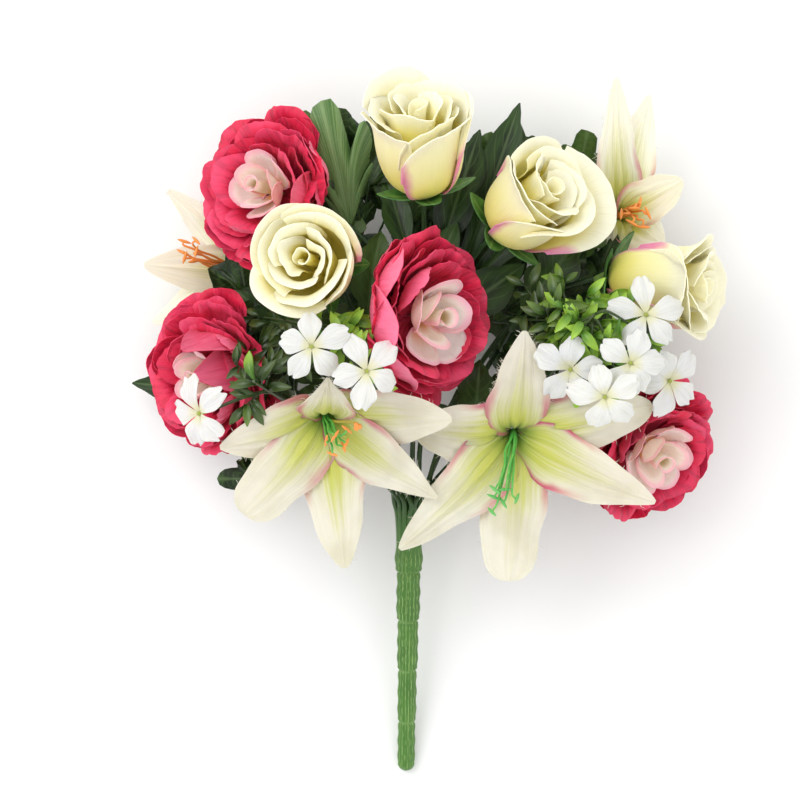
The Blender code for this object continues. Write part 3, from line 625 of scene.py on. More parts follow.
def petal_tree():
    """Cupped petals: each point of the plan holds one petal's side view and how it wraps round the bloom."""
    board = tree_with("cupped petals", Rows="Int", Columns="Int")
    sheet = board.node("GeometryNodeMeshGrid", {}, {
        "Size X": 2.0, "Size Y": 1.0, "Vertices X": board.given("Columns"), "Vertices Y": board.given("Rows"),
    })
    spot = board.node("GeometryNodeInputPosition")
    along = 1 - (0.5 - board.part_of(spot, "Y")) ** 1.5
    for label, value in (("across", board.part_of(spot, "X")), ("along", along)):
        sockets = {"Geometry": sheet, "Name": label, "Value": value}
        sheet = board.node("GeometryNodeStoreNamedAttribute", {}, sockets)
    sheet = board.node("GeometryNodeInstanceOnPoints", {}, {"Points": board.given("Plan"), "Instance": sheet})
    sheet = board.node("GeometryNodeRealizeInstances", {}, {0: sheet})
    u, v, luck, roll, waves = board.marks("along", "across", "chance", "roll", "waves")
    lip = board.noise(board.arrow(v * 1.7, luck * 37.0, 0.0), 1.0)
    lip = lip + 0.3 * board.noise(board.arrow(v * 7.0, luck * 19.0, 0.0), 1.0)
    near = board.maths("MAXIMUM", -1.0 * v, board.mark("both") * v)
    corner = 1 - board.maths("SQRT", 1 - near * near)
    trim = board.mark("droop") * corner
    t = board.maths("MINIMUM", u, LIP_START) * (1 - trim + board.mark("ragged") * (lip - 0.65) * u)
    s = 1 - t
    foot, swell, bend, top = (board.mark(label, True) for label in ("foot", "swell", "bend", "top"))
    side_view = foot * (s * s * s) + swell * (3 * s * s * t) + bend * (3 * s * t * t) + top * (t * t * t)
    slope = (swell - foot) * (s * s) + (bend - swell) * (2 * s * t) + (top - bend) * (t * t)
    slope = board.node("ShaderNodeVectorMath", {"operation": "NORMALIZE"}, {0: slope})
    outward = board.part_of(slope, "X")
    upward = board.part_of(slope, "Y")
    opening = board.maths("MINIMUM", u * 3.0, 1.0)
    wave = board.noise(board.arrow(v * waves, u * 1.3, luck * 53.0), 1.0, 1.0) - 0.5
    pleat = board.noise(board.arrow(v * (waves * 5.0), u * 3.0, luck * 71.0), 1.0, 1.0) - 0.5
    lift = wave * (board.mark("ruffle") * 4.0) * u * u + pleat * (board.mark("crimp") * 5.0) * u
    bow = roll * board.maths("MAXIMUM", u - LIP_START, 0.0) / (1 - LIP_START)
    ring = board.mark("lip") / roll * (1 - 0.75 * corner)
    over = ring * (1 - board.maths("COSINE", bow)) + board.mark("step") * v * opening + lift
    ahead = ring * board.maths("SINE", bow)
    reach = board.part_of(side_view, "X") + over * upward + ahead * outward
    height = board.part_of(side_view, "Y") - over * outward + ahead * upward
    angle = board.mark("turn") + board.mark("spread") * v * (0.3 + 0.7 * opening)
    target = board.arrow(reach * board.maths("COSINE", angle), reach * board.maths("SINE", angle), height)
    close_tree(board, board.node("GeometryNodeSetPosition", {}, {"Geometry": sheet, "Position": target}))
    return board


def petal_mesh(petals, dress, rows, columns, cloth):
    """Mesh of cupped petals: each is its marks, with its side view as a path of four places."""
    plan = bpy.data.meshes.new("petal plan")
    plan.from_pydata([(0.0, 0.0, float(k)) for k in range(len(petals))], [], [])
    marks = {label: [petal[label] for petal in petals] for label in PETAL_MARKS}
    paths = np.array([[(*spot, 0.0) for spot in petal["path"]] for petal in petals])
    marks.update(zip(("foot", "swell", "bend", "top"), paths.swapaxes(0, 1)))
    lips = [bezier(path, np.linspace(LIP_START, 1, 5)) for path in paths]
    marks["lip"] = [norm(np.diff(lip, axis=0), axis=1).sum() for lip in lips]
    add_marks(plan, marks)
    return grown(plan, PETALS, cloth, Rows=rows, Columns=columns, Finish=dress)


def scroll(inner, outer, foot, height, **marks):
    """Rolled petal at the middle of a bloom, as one more cupped petal."""
    middle = (inner + outer) / 2
    climb = height - foot
    path = [(0.5 * middle, foot), *((middle, foot + part * climb) for part in (0.2, 0.6)), (middle, height)]
    return dict(
        path=path, turn=0.4, spread=pi * SCROLL_TURNS, step=(outer - inner) / 2, both=1.0, crimp=0.1,
        rank=1.0, chance=chance.random(), **marks,
    )


def sway(width):
    """Random shift, up to half of a width either way."""
    return width * (chance.random() - 0.5)


def paint_rose(board):
    u, v, rank = board.marks("along", "across", "rank")
    cloud = board.noise(board.place(), 55.0)
    thread = board.grain(60.0, 4.0, 9.0)
    # Yellower toward each petal's foot: painted shade deep in the cup. Yellower low on the inner ranks:
    # painted glow of light through the thin petals.
    depth = board.rise(u + 0.14 * (cloud - 0.5), 0.9, 0.25)
    inner_glow = board.rise(rank, 0.1, 0.3) * board.rise(u, 0.92, 0.7)
    outer = board.rise(rank, 0.15, 0.05)
    blush = board.rise(0.3 * (cloud - 0.5) - v, 0.74, 1.0) * board.rise(u, 0.1, 0.3)
    colour = board.coats(
        (255, 247, 188),
        (depth, (248, 230, 98)),
        (0.9 * inner_glow, (255, 238, 112)),
        (0.75 * board.rise(u, 0.74, 0.98), (255, 251, 222)),
        (0.9 * blush * outer, (214, 96, 164)),
        (0.22 * board.rise(thread, 0.5, 0.75), (222, 208, 150)),
    )
    return colour, 0.55 + 0.15 * thread, thread * 0.35


rose_finish = finish("rose satin", paint_rose, 0.35, Sheen_Weight=0.15, **THIN)
PETALS = petal_tree()
for name, (foot, faces, opening, height) in ROSES.items():
    petals = []
    for level, (count, radius, top, spread, root, roll, lean_in, step) in enumerate(ROSE_RANKS):
        radius *= opening
        for k in range(count):
            turn = 360 * (k / count + 0.17 * level) + sway(34)
            lean = lean_in + sway(0.26)
            tall = height * top * (1 + sway(0.08))
            if level == 0:
                turn, lean, share = ROSE_OUTER[name][k]
                tall = height * top * share
            rim = ((1 + lean) * radius, tall)
            path = ((3.0, root), (1.12 * radius, root), (1.02 * radius, 0.6 * tall), rim)
            petals.append(dict(
                path=path, turn=radians(turn), spread=radians(spread), step=step,
                droop=0.32 if level else 0.42, both=0.55, ragged=0.1, ruffle=1.1 + 0.5 * level,
                crimp=0.1, waves=1.5, roll=roll * (0.7 + 0.6 * chance.random()), rank=level / 4,
                chance=chance.random(),
            ))
    top = ROSE_SCROLL_HEIGHT * height
    petals.append(scroll(*ROSE_SCROLL, top, droop=0.04, ragged=0.1, ruffle=1.0, waves=2.6, roll=0.3))
    mesh = petal_mesh(petals, rose_finish, rows=23, columns=25, cloth=0.6)
    made = laid(name + "_satin", mesh, bloom_place(foot, faces), rose_finish, rose_finish)
    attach(made, "root")
    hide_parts(name + "_petals")


# Ranunculus: crimson petals of thin crimped cloth in many ranks, whose backs are satin pink.
# In the middle sits a separate heart of small round peach petals.
WIDE_HEART = 0.8
RANUNCULUS_STEP = -2.2
RUFFLE_ROWS = 16
RUFFLE_COLUMNS = 19
FOLDED_PATH = ((4, 2), (36, -5), (52, 11), (46, 33))
FOLDED_ROOM = 24
# Petals, their side view, spread and ruffle.
RANUNCULUS_RANKS = (
    (9, ((4, 1), (32, -4), (46, 0), (52, 11)), 25, 2.6),
    (8, ((4, 2), (30, -3), (44, 2), (48, 17)), 27, 2.6),
    (8, ((4, 3), (27, -1), (41, 5), (44, 22)), 28, 2.4),
    (7, ((4, 4), (24, 1), (37, 8), (39, 26)), 31, 2.2),
    (6, ((4, 5), (21, 3), (34, 9), (35, 29)), 35, 1.8),
    (6, ((4, 6), (18, 4), (31, 10), (30, 31)), 37, 1.5),
    (5, ((4, 7), (13, 5), (25, 11), (23, 33)), 42, 1.2),
)
# Turn, width, height, lean inward and painted lightness of each large folded petal: how strong
# its painted highlight is and how light its back is painted.
FOLDED = {
    "ranunculus_upper_left": (
        (-50, 0.86, 1.3, 0.3, 0.5), (-12, 0.8, 1.2, 0.2, 0.75), (28, 0.84, 0.9, 0.0, 0.6),
    ),
    "ranunculus_centre": (
        (148, 1.0, 1.0, 0.08, 0.9), (186, 1.0, 1.15, 0.15, 0.98), (226, 1.0, 1.05, 0.15, 0.85),
    ),
    "ranunculus_lower_left": ((14, 0.82, 1.5, 0.7, 0.6), (60, 0.82, 1.6, 0.5, 0.5)),
    "ranunculus_lower_right": ((150, 1.0, 0.9, 0.0, 0.7),),
}
# Turn, reach, height and spread of each heart petal.
HEARTS = {
    "ranunculus_upper_left": (
        (100, 24, 35, 34), (38, 25, 37, 32), (-14, 21, 38, 30), (-85, 22, 31, 42), (185, 24, 30, 42),
    ),
    "ranunculus_centre": (
        (-106, 27, 29, 36), (-44, 29, 27, 36), (82, 20, 38, 46), (10, 17, 35, 44), (168, 20, 38, 44),
    ),
    "ranunculus_lower_left": ((60, 21, 37, 40), (140, 23, 33, 36), (215, 23, 31, 36), (-60, 23, 32, 40)),
    "ranunculus_lower_right": (
        (0, 25, 30, 32), (52, 25, 32, 30), (104, 25, 34, 32), (158, 25, 35, 30),
        (210, 25, 33, 32), (262, 25, 30, 30), (312, 25, 29, 32),
    ),
}
HEART_CORE = ((20, 15, 37, 52), (140, 14, 38, 54), (260, 15, 36, 52))


def paint_crimson(board, back):
    u, luck = board.marks("along", "chance")
    crease = board.grain(6.0, 3.5, 31.0)
    cloud = board.noise(board.place(), 45.0) + 0.3 * (crease - 0.5)
    base, shade_tone, light, crease_shade = (222, 17, 66), (146, 0, 38), (248, 84, 130), 0.6
    if back:
        base = board.coats((214, 34, 84), (board.rise(luck, 0.4, 1.0), (252, 112, 152)))
        shade_tone, light, crease_shade = (176, 14, 62), (255, 132, 168), 0.35
    vein = board.grain(40.0, 3.0, 17.0)
    # Painted light on the crimson: darker toward each petal's foot and in its creases is painted shade; the
    # lighter cloud patches and the lighter lips are painted satin highlight.
    colour = board.coats(
        base,
        (board.rise(u, 0.78, 0.25), shade_tone),
        (0.4 * board.rise(cloud, 0.48, 0.75), light),
        (crease_shade * board.rise(crease, 0.54, 0.32), shade_tone),
        (0.25 * board.rise(vein, 0.5, 0.7), light),
        (0.7 * luck * board.rise(u, 0.7, 0.97), light),
    )
    return colour, 0.46 + 0.2 * crease, crease * 2.5 + vein * 0.6


def paint_heart(board):
    u, v, rank = board.marks("along", "across", "rank")
    cloud = board.noise(board.place(), 70.0)
    thread = board.grain(22.0, 3.0, 9.0, 2.0)
    edge = board.maths("MAXIMUM", board.rise(abs(v), 0.72, 1.0), board.rise(u, 0.84, 1.0))
    colour = board.coats(
        (255, 242, 226),
        (board.rise(u + 0.2 * (cloud - 0.5), 0.54, 0.12), (240, 152, 90)),
        (0.7 * board.rise(rank, 0.8, 0.9) * board.rise(u, 0.9, 0.6), (170, 146, 70)),
        (0.8 * edge, (250, 150, 176)),
        (0.25 * board.rise(thread, 0.5, 0.7), (244, 196, 170)),
    )
    return colour, 0.5 + 0.15 * thread, thread * 0.4


crimson_face = finish("crimson petal face", lambda board: paint_crimson(board, False), 0.5, Sheen_Weight=0.05)
crimson_back = finish("crimson petal back", lambda board: paint_crimson(board, True), 0.5, Sheen_Weight=0.1)
heart_finish = finish("peach petal", paint_heart, 0.4, Sheen_Weight=0.15, **THIN)
for name, (foot, faces, size, heart) in RANUNCULUS.items():
    petals = []
    ranks = RANUNCULUS_RANKS[:7 if heart < WIDE_HEART else 6]
    for level, (count, side_view, spread, ruffle) in enumerate(ranks):
        for k in range(count):
            turn = 360 * (k / count + 0.11 * level) + sway(16)
            wide = size * (1 + sway(0.12))
            high = size * (1 + sway(0.3))
            beside = [abs((turn - fold + 180) % 360 - 180) for fold, *_ in FOLDED[name]]
            if level < 2 and min(beside) < FOLDED_ROOM:
                continue
            petals.append(dict(
                path=[(wide * reach, high * height) for reach, height in side_view],
                turn=radians(turn), spread=radians(spread * (0.9 + 0.2 * chance.random())),
                step=RANUNCULUS_STEP, droop=0.42, both=1.0, ragged=0.2, ruffle=ruffle, crimp=0.75, waves=1.3,
                roll=(0.15 + chance.random()) * chance.choice((1, 1, -0.6)), rank=level / 6,
                chance=0.8 * chance.random(),
            ))
    # A folded petal's chance carries its painted lightness: painted highlight on its lip and a lighter back
    # where the light falls.
    for fold, wide, high, inward, painted_lightness in FOLDED[name]:
        path = [(wide * size * reach, high * size * height) for reach, height in FOLDED_PATH]
        path[-1] = ((1 - inward) * path[-1][0], path[-1][1])
        petals.append(dict(
            path=path, turn=radians(fold), spread=radians(34), step=RANUNCULUS_STEP, droop=0.5, both=1.0,
            ragged=0.08, ruffle=1.3, crimp=0.15, waves=1.0, roll=0.25, rank=0.0, chance=painted_lightness,
        ))
    mesh = petal_mesh(petals, crimson_back, RUFFLE_ROWS, RUFFLE_COLUMNS, cloth=0.4)
    sides = np.zeros(len(mesh.polygons), np.int32)
    sides[:len(petals) * (RUFFLE_ROWS - 1) * (RUFFLE_COLUMNS - 1)] = 1
    mesh.polygons.foreach_set("material_index", sides)
    place = bloom_place(foot, faces)
    made = laid(name + "_ruffles", mesh, place, crimson_face, crimson_back)
    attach(made, "root")
    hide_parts(name + "_petals")
    petals = []
    for turn, reach, height, spread in (*HEARTS[name], *HEART_CORE):
        side_view = ((3, 12), (0.6 * reach, 11), (1.06 * reach, 18), (0.98 * reach, height))
        petals.append(dict(
            path=[(heart * r, size * z) for r, z in side_view], turn=radians(turn), spread=radians(spread),
            step=-1.3, droop=0.46, both=1.0, ragged=0.08, ruffle=0.8, crimp=0.12, waves=1.3,
            roll=0.3 + 0.5 * chance.random(), rank=0.5, chance=chance.random(),
        ))
    core = (3.2 * heart, 7.0 * heart, 12.0, 37.0 * size)
    petals.append(scroll(*core, droop=0.05, ragged=0.05, ruffle=0.6, waves=2.0, roll=0.5))
    mesh = petal_mesh(petals, heart_finish, rows=20, columns=21, cloth=0.4)
    made = laid(name + "_rosette", mesh, place, heart_finish, heart_finish)
    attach(made, "root")
    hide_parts(name + "_heart")


# Lilies: six stiffened cloth petals, hot-pressed with lengthwise veins and sewn into a funnel.
# Airbrushed yellow-green down the throat and pink along the margins; their edges fray.
LILY_HALF_WIDTH = 21.0
LILY_CLAW = 1.2
LILY_FUNNEL = 0.37
LILY_INNER = (3.0, 0.46)
LILY_OUTER = (11.0, 0.36)
LILY_ROWS = 44
LILY_COLUMNS = 21
LILY_WIDEST = 0.48
LILY_CLOSER = 1.5
LILY_CLOTH = 0.5
FRAY_RADII = (0.16, 0.13, 0.08)
TOP_PETAL_FRAY = 3


def throat_turns(lily):
    """Angles round the axis at which the petals leave the throat: sixths of a turn, near their tips' own."""
    side, other = square_to(lily["faces"])
    reach = np.subtract(lily["tips"], lily["foot"])
    turns = np.unwrap(np.arctan2(reach @ other, reach @ side))
    sixths = copysign(pi / 3, turns[-1] - turns[0]) * np.arange(6)
    return np.mean(turns - sixths) + sixths


def lily_sheet(lily, tip, turn, inner, blunt, luck):
    foot = np.asarray(lily["foot"], float)
    axis = unit(lily["faces"])
    out = spoke(turn, *square_to(axis))
    reach = tip - foot
    reach = reach - np.dot(reach, axis) * axis
    length = np.mean(norm(lily["tips"] - foot, axis=1))
    mouth, shoulder = LILY_INNER if inner else LILY_OUTER
    path = (
        foot + 1.0 * axis + 1.8 * out,
        foot + LILY_FUNNEL * length * axis + mouth * out,
        foot + shoulder * length * axis + 0.45 * reach,
        tip,
    )
    u, v = across_grid(LILY_ROWS, LILY_COLUMNS, LILY_CLOSER)
    centre = bezier(path, u)
    ripple = 1 + 0.09 * np.sin(10 * u + 9 * luck + 2.4 * np.sign(v)) * u
    ripple = ripple + 0.04 * np.sin(23 * u + 20 * luck + 4 * np.sign(v))
    before = np.sin(pi / 2 * np.minimum(1, u / LILY_WIDEST)) ** 1.5
    after = (1 - np.maximum(0, (u - LILY_WIDEST) / (1 - LILY_WIDEST)) ** (1.4 / blunt)) ** blunt
    half = LILY_CLAW + (lily["width"] * LILY_HALF_WIDTH - LILY_CLAW) * before * after * ripple
    half = np.maximum(half, 0.25)
    radial = centre - foot
    radial = radial - (radial @ axis)[..., None] * axis
    far = norm(radial, axis=-1)
    outward = radial / far[..., None]
    curl = np.maximum(1.8, far) * (1 + 3 * u * u)
    bend = v * half / curl
    inward = (np.cos(bend) - 1)[..., None] * ((1 - u)[..., None] * outward + u[..., None] * axis)
    sheet = centre + curl[..., None] * (np.sin(bend)[..., None] * np.cross(axis, outward) + inward)
    groove = 1.3 * np.exp(-((v / 0.12) ** 2)) * np.sin(pi * u) ** 0.5
    veins = 0.8 * np.cos((5.5 * v + 0.5 * np.sin(5 * u + 9 * luck)) * pi)
    veins = veins * np.exp(-((v / 0.7) ** 4)) * np.sin(pi * u)
    edge = 2.6 * np.sin(9 * u + 17 * luck + 2 * v) * np.abs(v) ** 3 * np.sin(pi * u**0.7)
    return sheet + normals_of(sheet) * (groove + veins + edge)[..., None]


def paint_lily(board):
    v, luck = board.marks("across", "chance")
    u = board.maths("MAXIMUM", board.mark("along"), board.mark("tint"))
    edge = abs(v)
    cloud = board.noise(board.place(), 40.0)
    vein = board.noise(board.arrow(v * 16.0, u * 1.6, luck * 9.0), 1.0, 3.0)
    thread = board.noise(board.arrow(v * 90.0, u * 5.0, luck * 4.0), 1.0, 2.0)
    throat = board.rise(u + 0.36 * edge + 0.5 * (vein - 0.5) + 0.3 * (cloud - 0.5), 0.96, 0.4)
    margin = board.rise(edge + 0.5 * (cloud - 0.5), 0.68, 0.93)
    margin = margin * board.rise(u, 0.1, 0.22) * board.rise(u, 0.76, 0.5)
    colour = board.coats(
        (230, 223, 200),
        (board.rise(cloud, 0.35, 0.7), (212, 205, 180)),
        # Paler cloth on lilies with a pale value: painted light against the shade on the low far lilies.
        (board.mark("rank"), (255, 250, 222)),
        (throat * 0.95, (190, 194, 72)),
        (0.9 * board.rise(u + 0.1 * (vein - 0.5), 0.4, 0.12), (92, 136, 28)),
        (margin * (0.7 + 0.3 * luck), (192, 62, 104)),
        (0.3 * board.rise(vein, 0.55, 0.75), (206, 200, 130)),
    )
    return colour, 0.55 + 0.15 * thread, vein * 1.2 + thread * 0.15


lily_finish = finish("lily cloth", paint_lily, 0.4, Sheen_Weight=0.15, **THIN)
for name, lily in LILIES.items():
    along = {"along": across_grid(LILY_ROWS, LILY_COLUMNS, LILY_CLOSER)[0]}
    sheets = []
    for k, (tip, turn, blunt) in enumerate(zip(lily["tips"], throat_turns(lily), lily["blunt"])):
        luck = chance.random()
        sheets.append((lily_sheet(lily, tip, turn, k % 2 == 0, blunt, luck), lily["pale"], luck, along))
    fray = []
    for k, (grid, *_) in enumerate(sheets):
        for _ in range(lily["fray"] * (1 if k else TOP_PETAL_FRAY)):
            row = chance.integers(LILY_ROWS // 5, LILY_ROWS - 2)
            edge, inner = grid[row, (-1, -2) if chance.random() < 0.5 else (0, 1)]
            ahead = unit(unit(edge - inner) + 0.8 * chance.normal(size=3))
            long = 1.5 + 2.5 * chance.random()
            bowed = edge + 0.5 * long * ahead + 0.4 * chance.normal(size=3)
            fray.append(((edge, bowed, edge + long * ahead), FRAY_RADII, 1.0))
    hairs = stalks(fray, lily_finish, sides=3, steps=2)
    for mesh, label in ((sheet_mesh(name, sheets, LILY_CLOTH), "cloth"), (hairs, "fray")):
        made = laid(f"{name}_{label}", mesh, whole, lily_finish)
        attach(made, "root")
        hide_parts(name + "_petals")


# Stamens: soft plastic threads in one moulding pushed into each lily's throat, with the anthers
# moulded across their ends. Green on the large right lily, orange on the others.
STAMENS = 6
STAMEN_ROOT = 8.0
FILAMENT = 0.8
ANTHER = ((-4.6, -2.4, 0, 2.4, 4.6), (0.25, 0.85, 1.0, 0.85, 0.25))
KNOB = (-42, -3, 158)
KNOB_LOBE = ((-1.4, -1.0, 1.0, 1.4), (0.6, 1.5, 1.5, 0.6))
GREEN_ANTHERS = (104, 186, 96)
ORANGE_ANTHERS = (240, 150, 70)


def paint_stamen(board, tint):
    cloud = board.noise(board.place(), 220.0)
    colour = board.coats(
        (84, 176, 78),
        (0.4 * board.rise(cloud, 0.4, 0.7), (150, 204, 96)),
        (board.mark("tint"), tint),
    )
    return colour, 0.35 + 0.2 * cloud, cloud * 0.3


for name, lily in LILIES.items():
    green = name == "lily_lower_right"
    tint = GREEN_ANTHERS if green else ORANGE_ANTHERS
    dress = finish(name + " stamen", lambda board: paint_stamen(board, tint), 0.3)
    axis = unit(lily["faces"])
    side, other = square_to(axis)
    root = lily["foot"] + STAMEN_ROOT * axis
    lines = [((root, root + 1.5 * axis, root + 3.5 * axis), (1.6, 1.7, 1.2), 0.0)]
    for k in range(STAMENS):
        spread = spoke(2 * pi * k / STAMENS, side, other)
        end = lily["anthers"] + (3 + 8 * chance.random()) * spread - (2 + 3 * (k % 2)) * axis
        near_end = lily["anthers"] + 4 * axis + 3 * spread
        path = (root + 2.5 * axis + 0.9 * spread, root + 22 * axis + 3 * spread, near_end, end)
        line = bezier(path, np.linspace(0, 1, 7))
        line[2:6] += chance.normal(size=(4, 3)) * 0.7
        lines.append((line, np.linspace(1.1, 0.75, 7) * FILAMENT, 0.0 if "lower" in name else 1.0))
        cross = unit(np.cross(end - line[-2], (sway(1), sway(1), 0.6)))
        lines.append(([end + along * cross for along in ANTHER[0]], ANTHER[1], 1.0))
    if name == "lily_lower_left":
        path = (root + 2.5 * axis, root + 24 * axis, KNOB - 14 * axis, KNOB)
        lines.append((bezier(path, np.linspace(0, 1, 6)), 0.9, 0.5))
        for turn in (0.0, 2.1, 4.2):
            lobe = KNOB + 1.3 * spoke(turn, side, other)
            lines.append(([lobe + along * axis for along in KNOB_LOBE[0]], KNOB_LOBE[1], 1.0))
    made = laid(name + "_threads", stalks(lines, dress, sides=8, steps=5), whole, dress)
    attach(made, "root")
    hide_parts(name + "_stamens")


# Florets: small white cloth flowers of five broad notched petals, each stamped in one piece and
# pushed on the end of a sprig's twig. They shade to green-yellow at the eye.
FLORET_PETALS = 5
FLORET_RADIUS = 24.0
FLORET_TUBE = 9.0
FLORET_CLOTH = 0.5
EYE = ((0, 0, -FLORET_TUBE), (0, 0, -4), (0, 0, 0.2), (0, 0, 1.0))
EYE_RADII = (1.2, 1.3, 1.3, 0.8)
# Middle, the way it faces and its turn.
FLORETS = {
    "floret_left_1": ((-70, 46, 176), (0.0, 0.0, 1.0), 18),
    "floret_left_2": ((-36, 31, 180), (0.15, 0.1, 0.98), 50),
    "floret_left_3": ((-140, 5, 128), (-0.72, -0.2, 0.66), 30),
    "floret_right_1": ((110, 15, 162), (0.05, -0.2, 0.98), 30),
    "floret_right_2": ((126, 36, 152), (0.15, 0.0, 0.98), 5),
    "floret_right_3": ((151, 25, 121), (0.45, -0.15, 0.88), 40),
    "floret_right_4": ((89, 32, 142), (-0.2, -0.2, 0.96), 6),
    "floret_right_5": ((136, 66, 131), (0.1, 0.1, 0.99), 20),
}


def floret_sheets():
    u, v = across_grid(14, 11)
    sheets = []
    for k in range(FLORET_PETALS):
        far = FLORET_RADIUS * (0.82 + 0.24 * chance.random())
        jag = 0.02 * np.sin(23 * v + 30 * chance.random())
        notch = 0.07 * np.exp(-((v / 0.2) ** 2)) + 0.2 * v**4 + jag
        reach = 1.2 + (far - 1.2) * u * (1 - notch * u**2)
        half = 1.2 + 6.6 * np.sin(0.8 * pi * u**1.25) * (0.92 + 0.2 * chance.random())
        bow = 4.2 * np.sin(pi * u) - 2.5 * u + (9.0 * chance.random() - 4.0) * u * u
        twist = sway(7.0) * v * u * u
        lift = bow - 0.9 + twist + 1.3 * np.sin(5 * v + 20 * chance.random()) * u * u
        lift = lift + 0.7 * np.exp(-((v / 0.12) ** 2)) * u
        turn = radians(72 * k + sway(14))
        sheets.append((spun(np.stack([reach, v * half, lift], -1), turn), 0.0, chance.random()))
    return sheets


def paint_floret(board):
    vein = board.grain(9.0, 2.0, 9.0, 2.0)
    cloud = board.noise(board.place(), 120.0)
    colour = board.coats(
        (226, 226, 219),
        (board.rise(board.mark("along"), 0.4, 0.05), (222, 219, 172)),
        (0.5 * board.rise(vein, 0.45, 0.75), (202, 203, 190)),
        (board.mark("tint"), (150, 160, 70)),
    )
    return colour, 0.55 + 0.15 * cloud, vein * 1.2


floret_finish = finish("white cloth", paint_floret, 0.35, Sheen_Weight=0.15, **THIN)
for name, floret in FLORETS.items():
    cloth = sheet_mesh(name, floret_sheets(), FLORET_CLOTH)
    eye = stalks([(EYE, EYE_RADII, 1.0)], floret_finish, sides=12, steps=4)
    for mesh, label in ((cloth, "cloth"), (eye, "eye")):
        made = laid(f"{name}_{label}", mesh, bloom_place(*floret), floret_finish)
        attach(made, "root")
        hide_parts(name + "_petals")


# Leaf sprays: each is a short plastic sleeve threaded on a stem, with dark green cloth leaves
# whose stalks are moulded into it. The leaves are pressed with pleats and have pale veins.
HAND_ROOT = (-47.0, 122.0, 70.0)
SLEEVE = ((-4, -3.6, 3.6, 4), (3.2, 3.9, 3.9, 3.2))
LEAF_CLOTH = 0.5
LEAF_CLEAR = 0.4
LEAF_CROWD = 1.35
# Stem, place along it, and the leaves: tip, half width or fan, and kind if it isn't a plain lobed one.
SPRAYS = {
    "leaves_top": ("rose_top", 0.68, (
        ((-65, 199, 74), 0.85, "hand"), ((-30, 172, 44), 9), ((34, 182, 62), 12),
    )),
    "leaves_upper_right": ("rose_upper_right", 0.68, (
        ((59, 199, 50), 11), ((99, 168, 56), 13), ((-4, 112, 58), 14),
    )),
    "leaves_right": ("rose_right", 0.66, (
        ((96, 114, 74), 14), ((146, 52, 40), 14), ((94, 84, 40), 14),
    )),
    "leaves_left": ("rose_left", 0.62, (
        ((-104, 62, 62), 14), ((-28, 118, 88), 13), ((-66, 70, 98), 12),
    )),
    "leaves_far_left": ("ranunculus_lower_left", 0.66, (
        ((-184, 24, 20), 10), ((-112, -34, 50), 14), ((-106, 58, 18), 13),
        ((-100, -8, 68), 13),
    )),
    "leaves_centre": ("ranunculus_centre", 0.62, (((20, 124, 80), 14), ((62, 98, 70), 14))),
    "leaves_low_right": ("ranunculus_lower_right", 0.6, (((98, 2, 66), 13), ((160, -48, 16), 14))),
    "leaves_mid_left": ("sprig_left", 0.65, (((-90, 56, 90), 14), ((-36, 66, 90), 13))),
    "leaves_mid_right": ("lily_lower_right", 0.58, (((76, 52, 66), 14), ((34, 38, 84), 12))),
    "leaves_back_left": ("ranunculus_upper_left", 0.58, (
        ((-74, 112, -15), 18, "resting"), ((-30, 118, 24), 15),
    )),
    "leaves_back_right": ("lily_far_right", 0.55, (((96, 104, -7), 18, "resting"), ((40, 128, 22), 15))),
}
# Where the leaves between the blooms crowd: x, y and spread.
LEAF_MASS = (
    (-50, 168, 24), (-47, 131, 17), (-31, 153, 14), (9, 137, 25), (34, 162, 11), (-10, 116, 16),
    (44, 99, 21), (65, 85, 19), (93, 99, 20), (111, 122, 17), (101, 168, 9), (54, 184, 9),
    (108, 57, 22), (74, 51, 17), (139, 57, 12), (99, 13, 16), (34, 4, 14), (-37, 82, 14),
    (-118, 75, 22), (-87, 63, 22), (-112, 44, 20), (-96, 7, 20), (-62, 75, 11), (-69, 13, 12),
    (-41, 57, 9), (-115, -30, 9), (59, 32, 12),
)


def point_on(line, along):
    """Point a share of the way along a line, and the line's step there."""
    legs = len(line) - 1
    step = min(int(along * legs), legs - 1)
    leg = line[step + 1] - line[step]
    return line[step] + (along * legs - step) * leg, leg


def leaf_frame(root, tip):
    reach = np.subtract(tip, root)
    ahead = unit(reach)
    side = unit(np.cross(ahead, (0, 0, 1)))
    return norm(reach), ahead, side, np.cross(side, ahead)


def leaf_points(root, ahead, side, up, forward, sideways, rise):
    points = root + forward[..., None] * ahead + sideways[..., None] * side + rise[..., None] * up
    points[..., 2] = np.maximum(points[..., 2], LEAF_CLEAR)
    return points


def blade_leaf(root, tip, half_width, resting, luck):
    """Long leaf with rounded lobes along both sides, a midrib and pleats along its side veins."""
    length, *frame_of_leaf = leaf_frame(root, tip)
    u, v = across_grid(24, 11)
    blade = np.clip((u - 0.14) / 0.86, 0, 1)
    lobe = 0.62 + 0.5 * np.abs(np.sin(pi * (3.0 * blade + 0.3 + 0.2 * luck))) ** 0.7
    half = 0.9 + (half_width - 0.9) * np.sin(pi * blade**1.2) ** 0.6 * lobe
    half *= np.clip((1 - u) * 9, 0.05, 1) ** 0.5
    pleat = 0.6 * np.cos(2 * pi * (8 * u - 2.2 * np.abs(v))) * np.abs(v) * np.sin(pi * u)
    rise = pleat - 0.9 * np.exp(-((v / 0.14) ** 2)) * np.sin(pi * np.minimum(1, u + 0.1))
    if not resting:
        rise += 0.4 * length * u * (1 - u) + 0.2 * half * np.abs(v) + 1.6 * np.sin(7 * u + 12 * luck) * v * u
    return leaf_points(root, *frame_of_leaf, u * length, v * half, rise), 0.0, luck


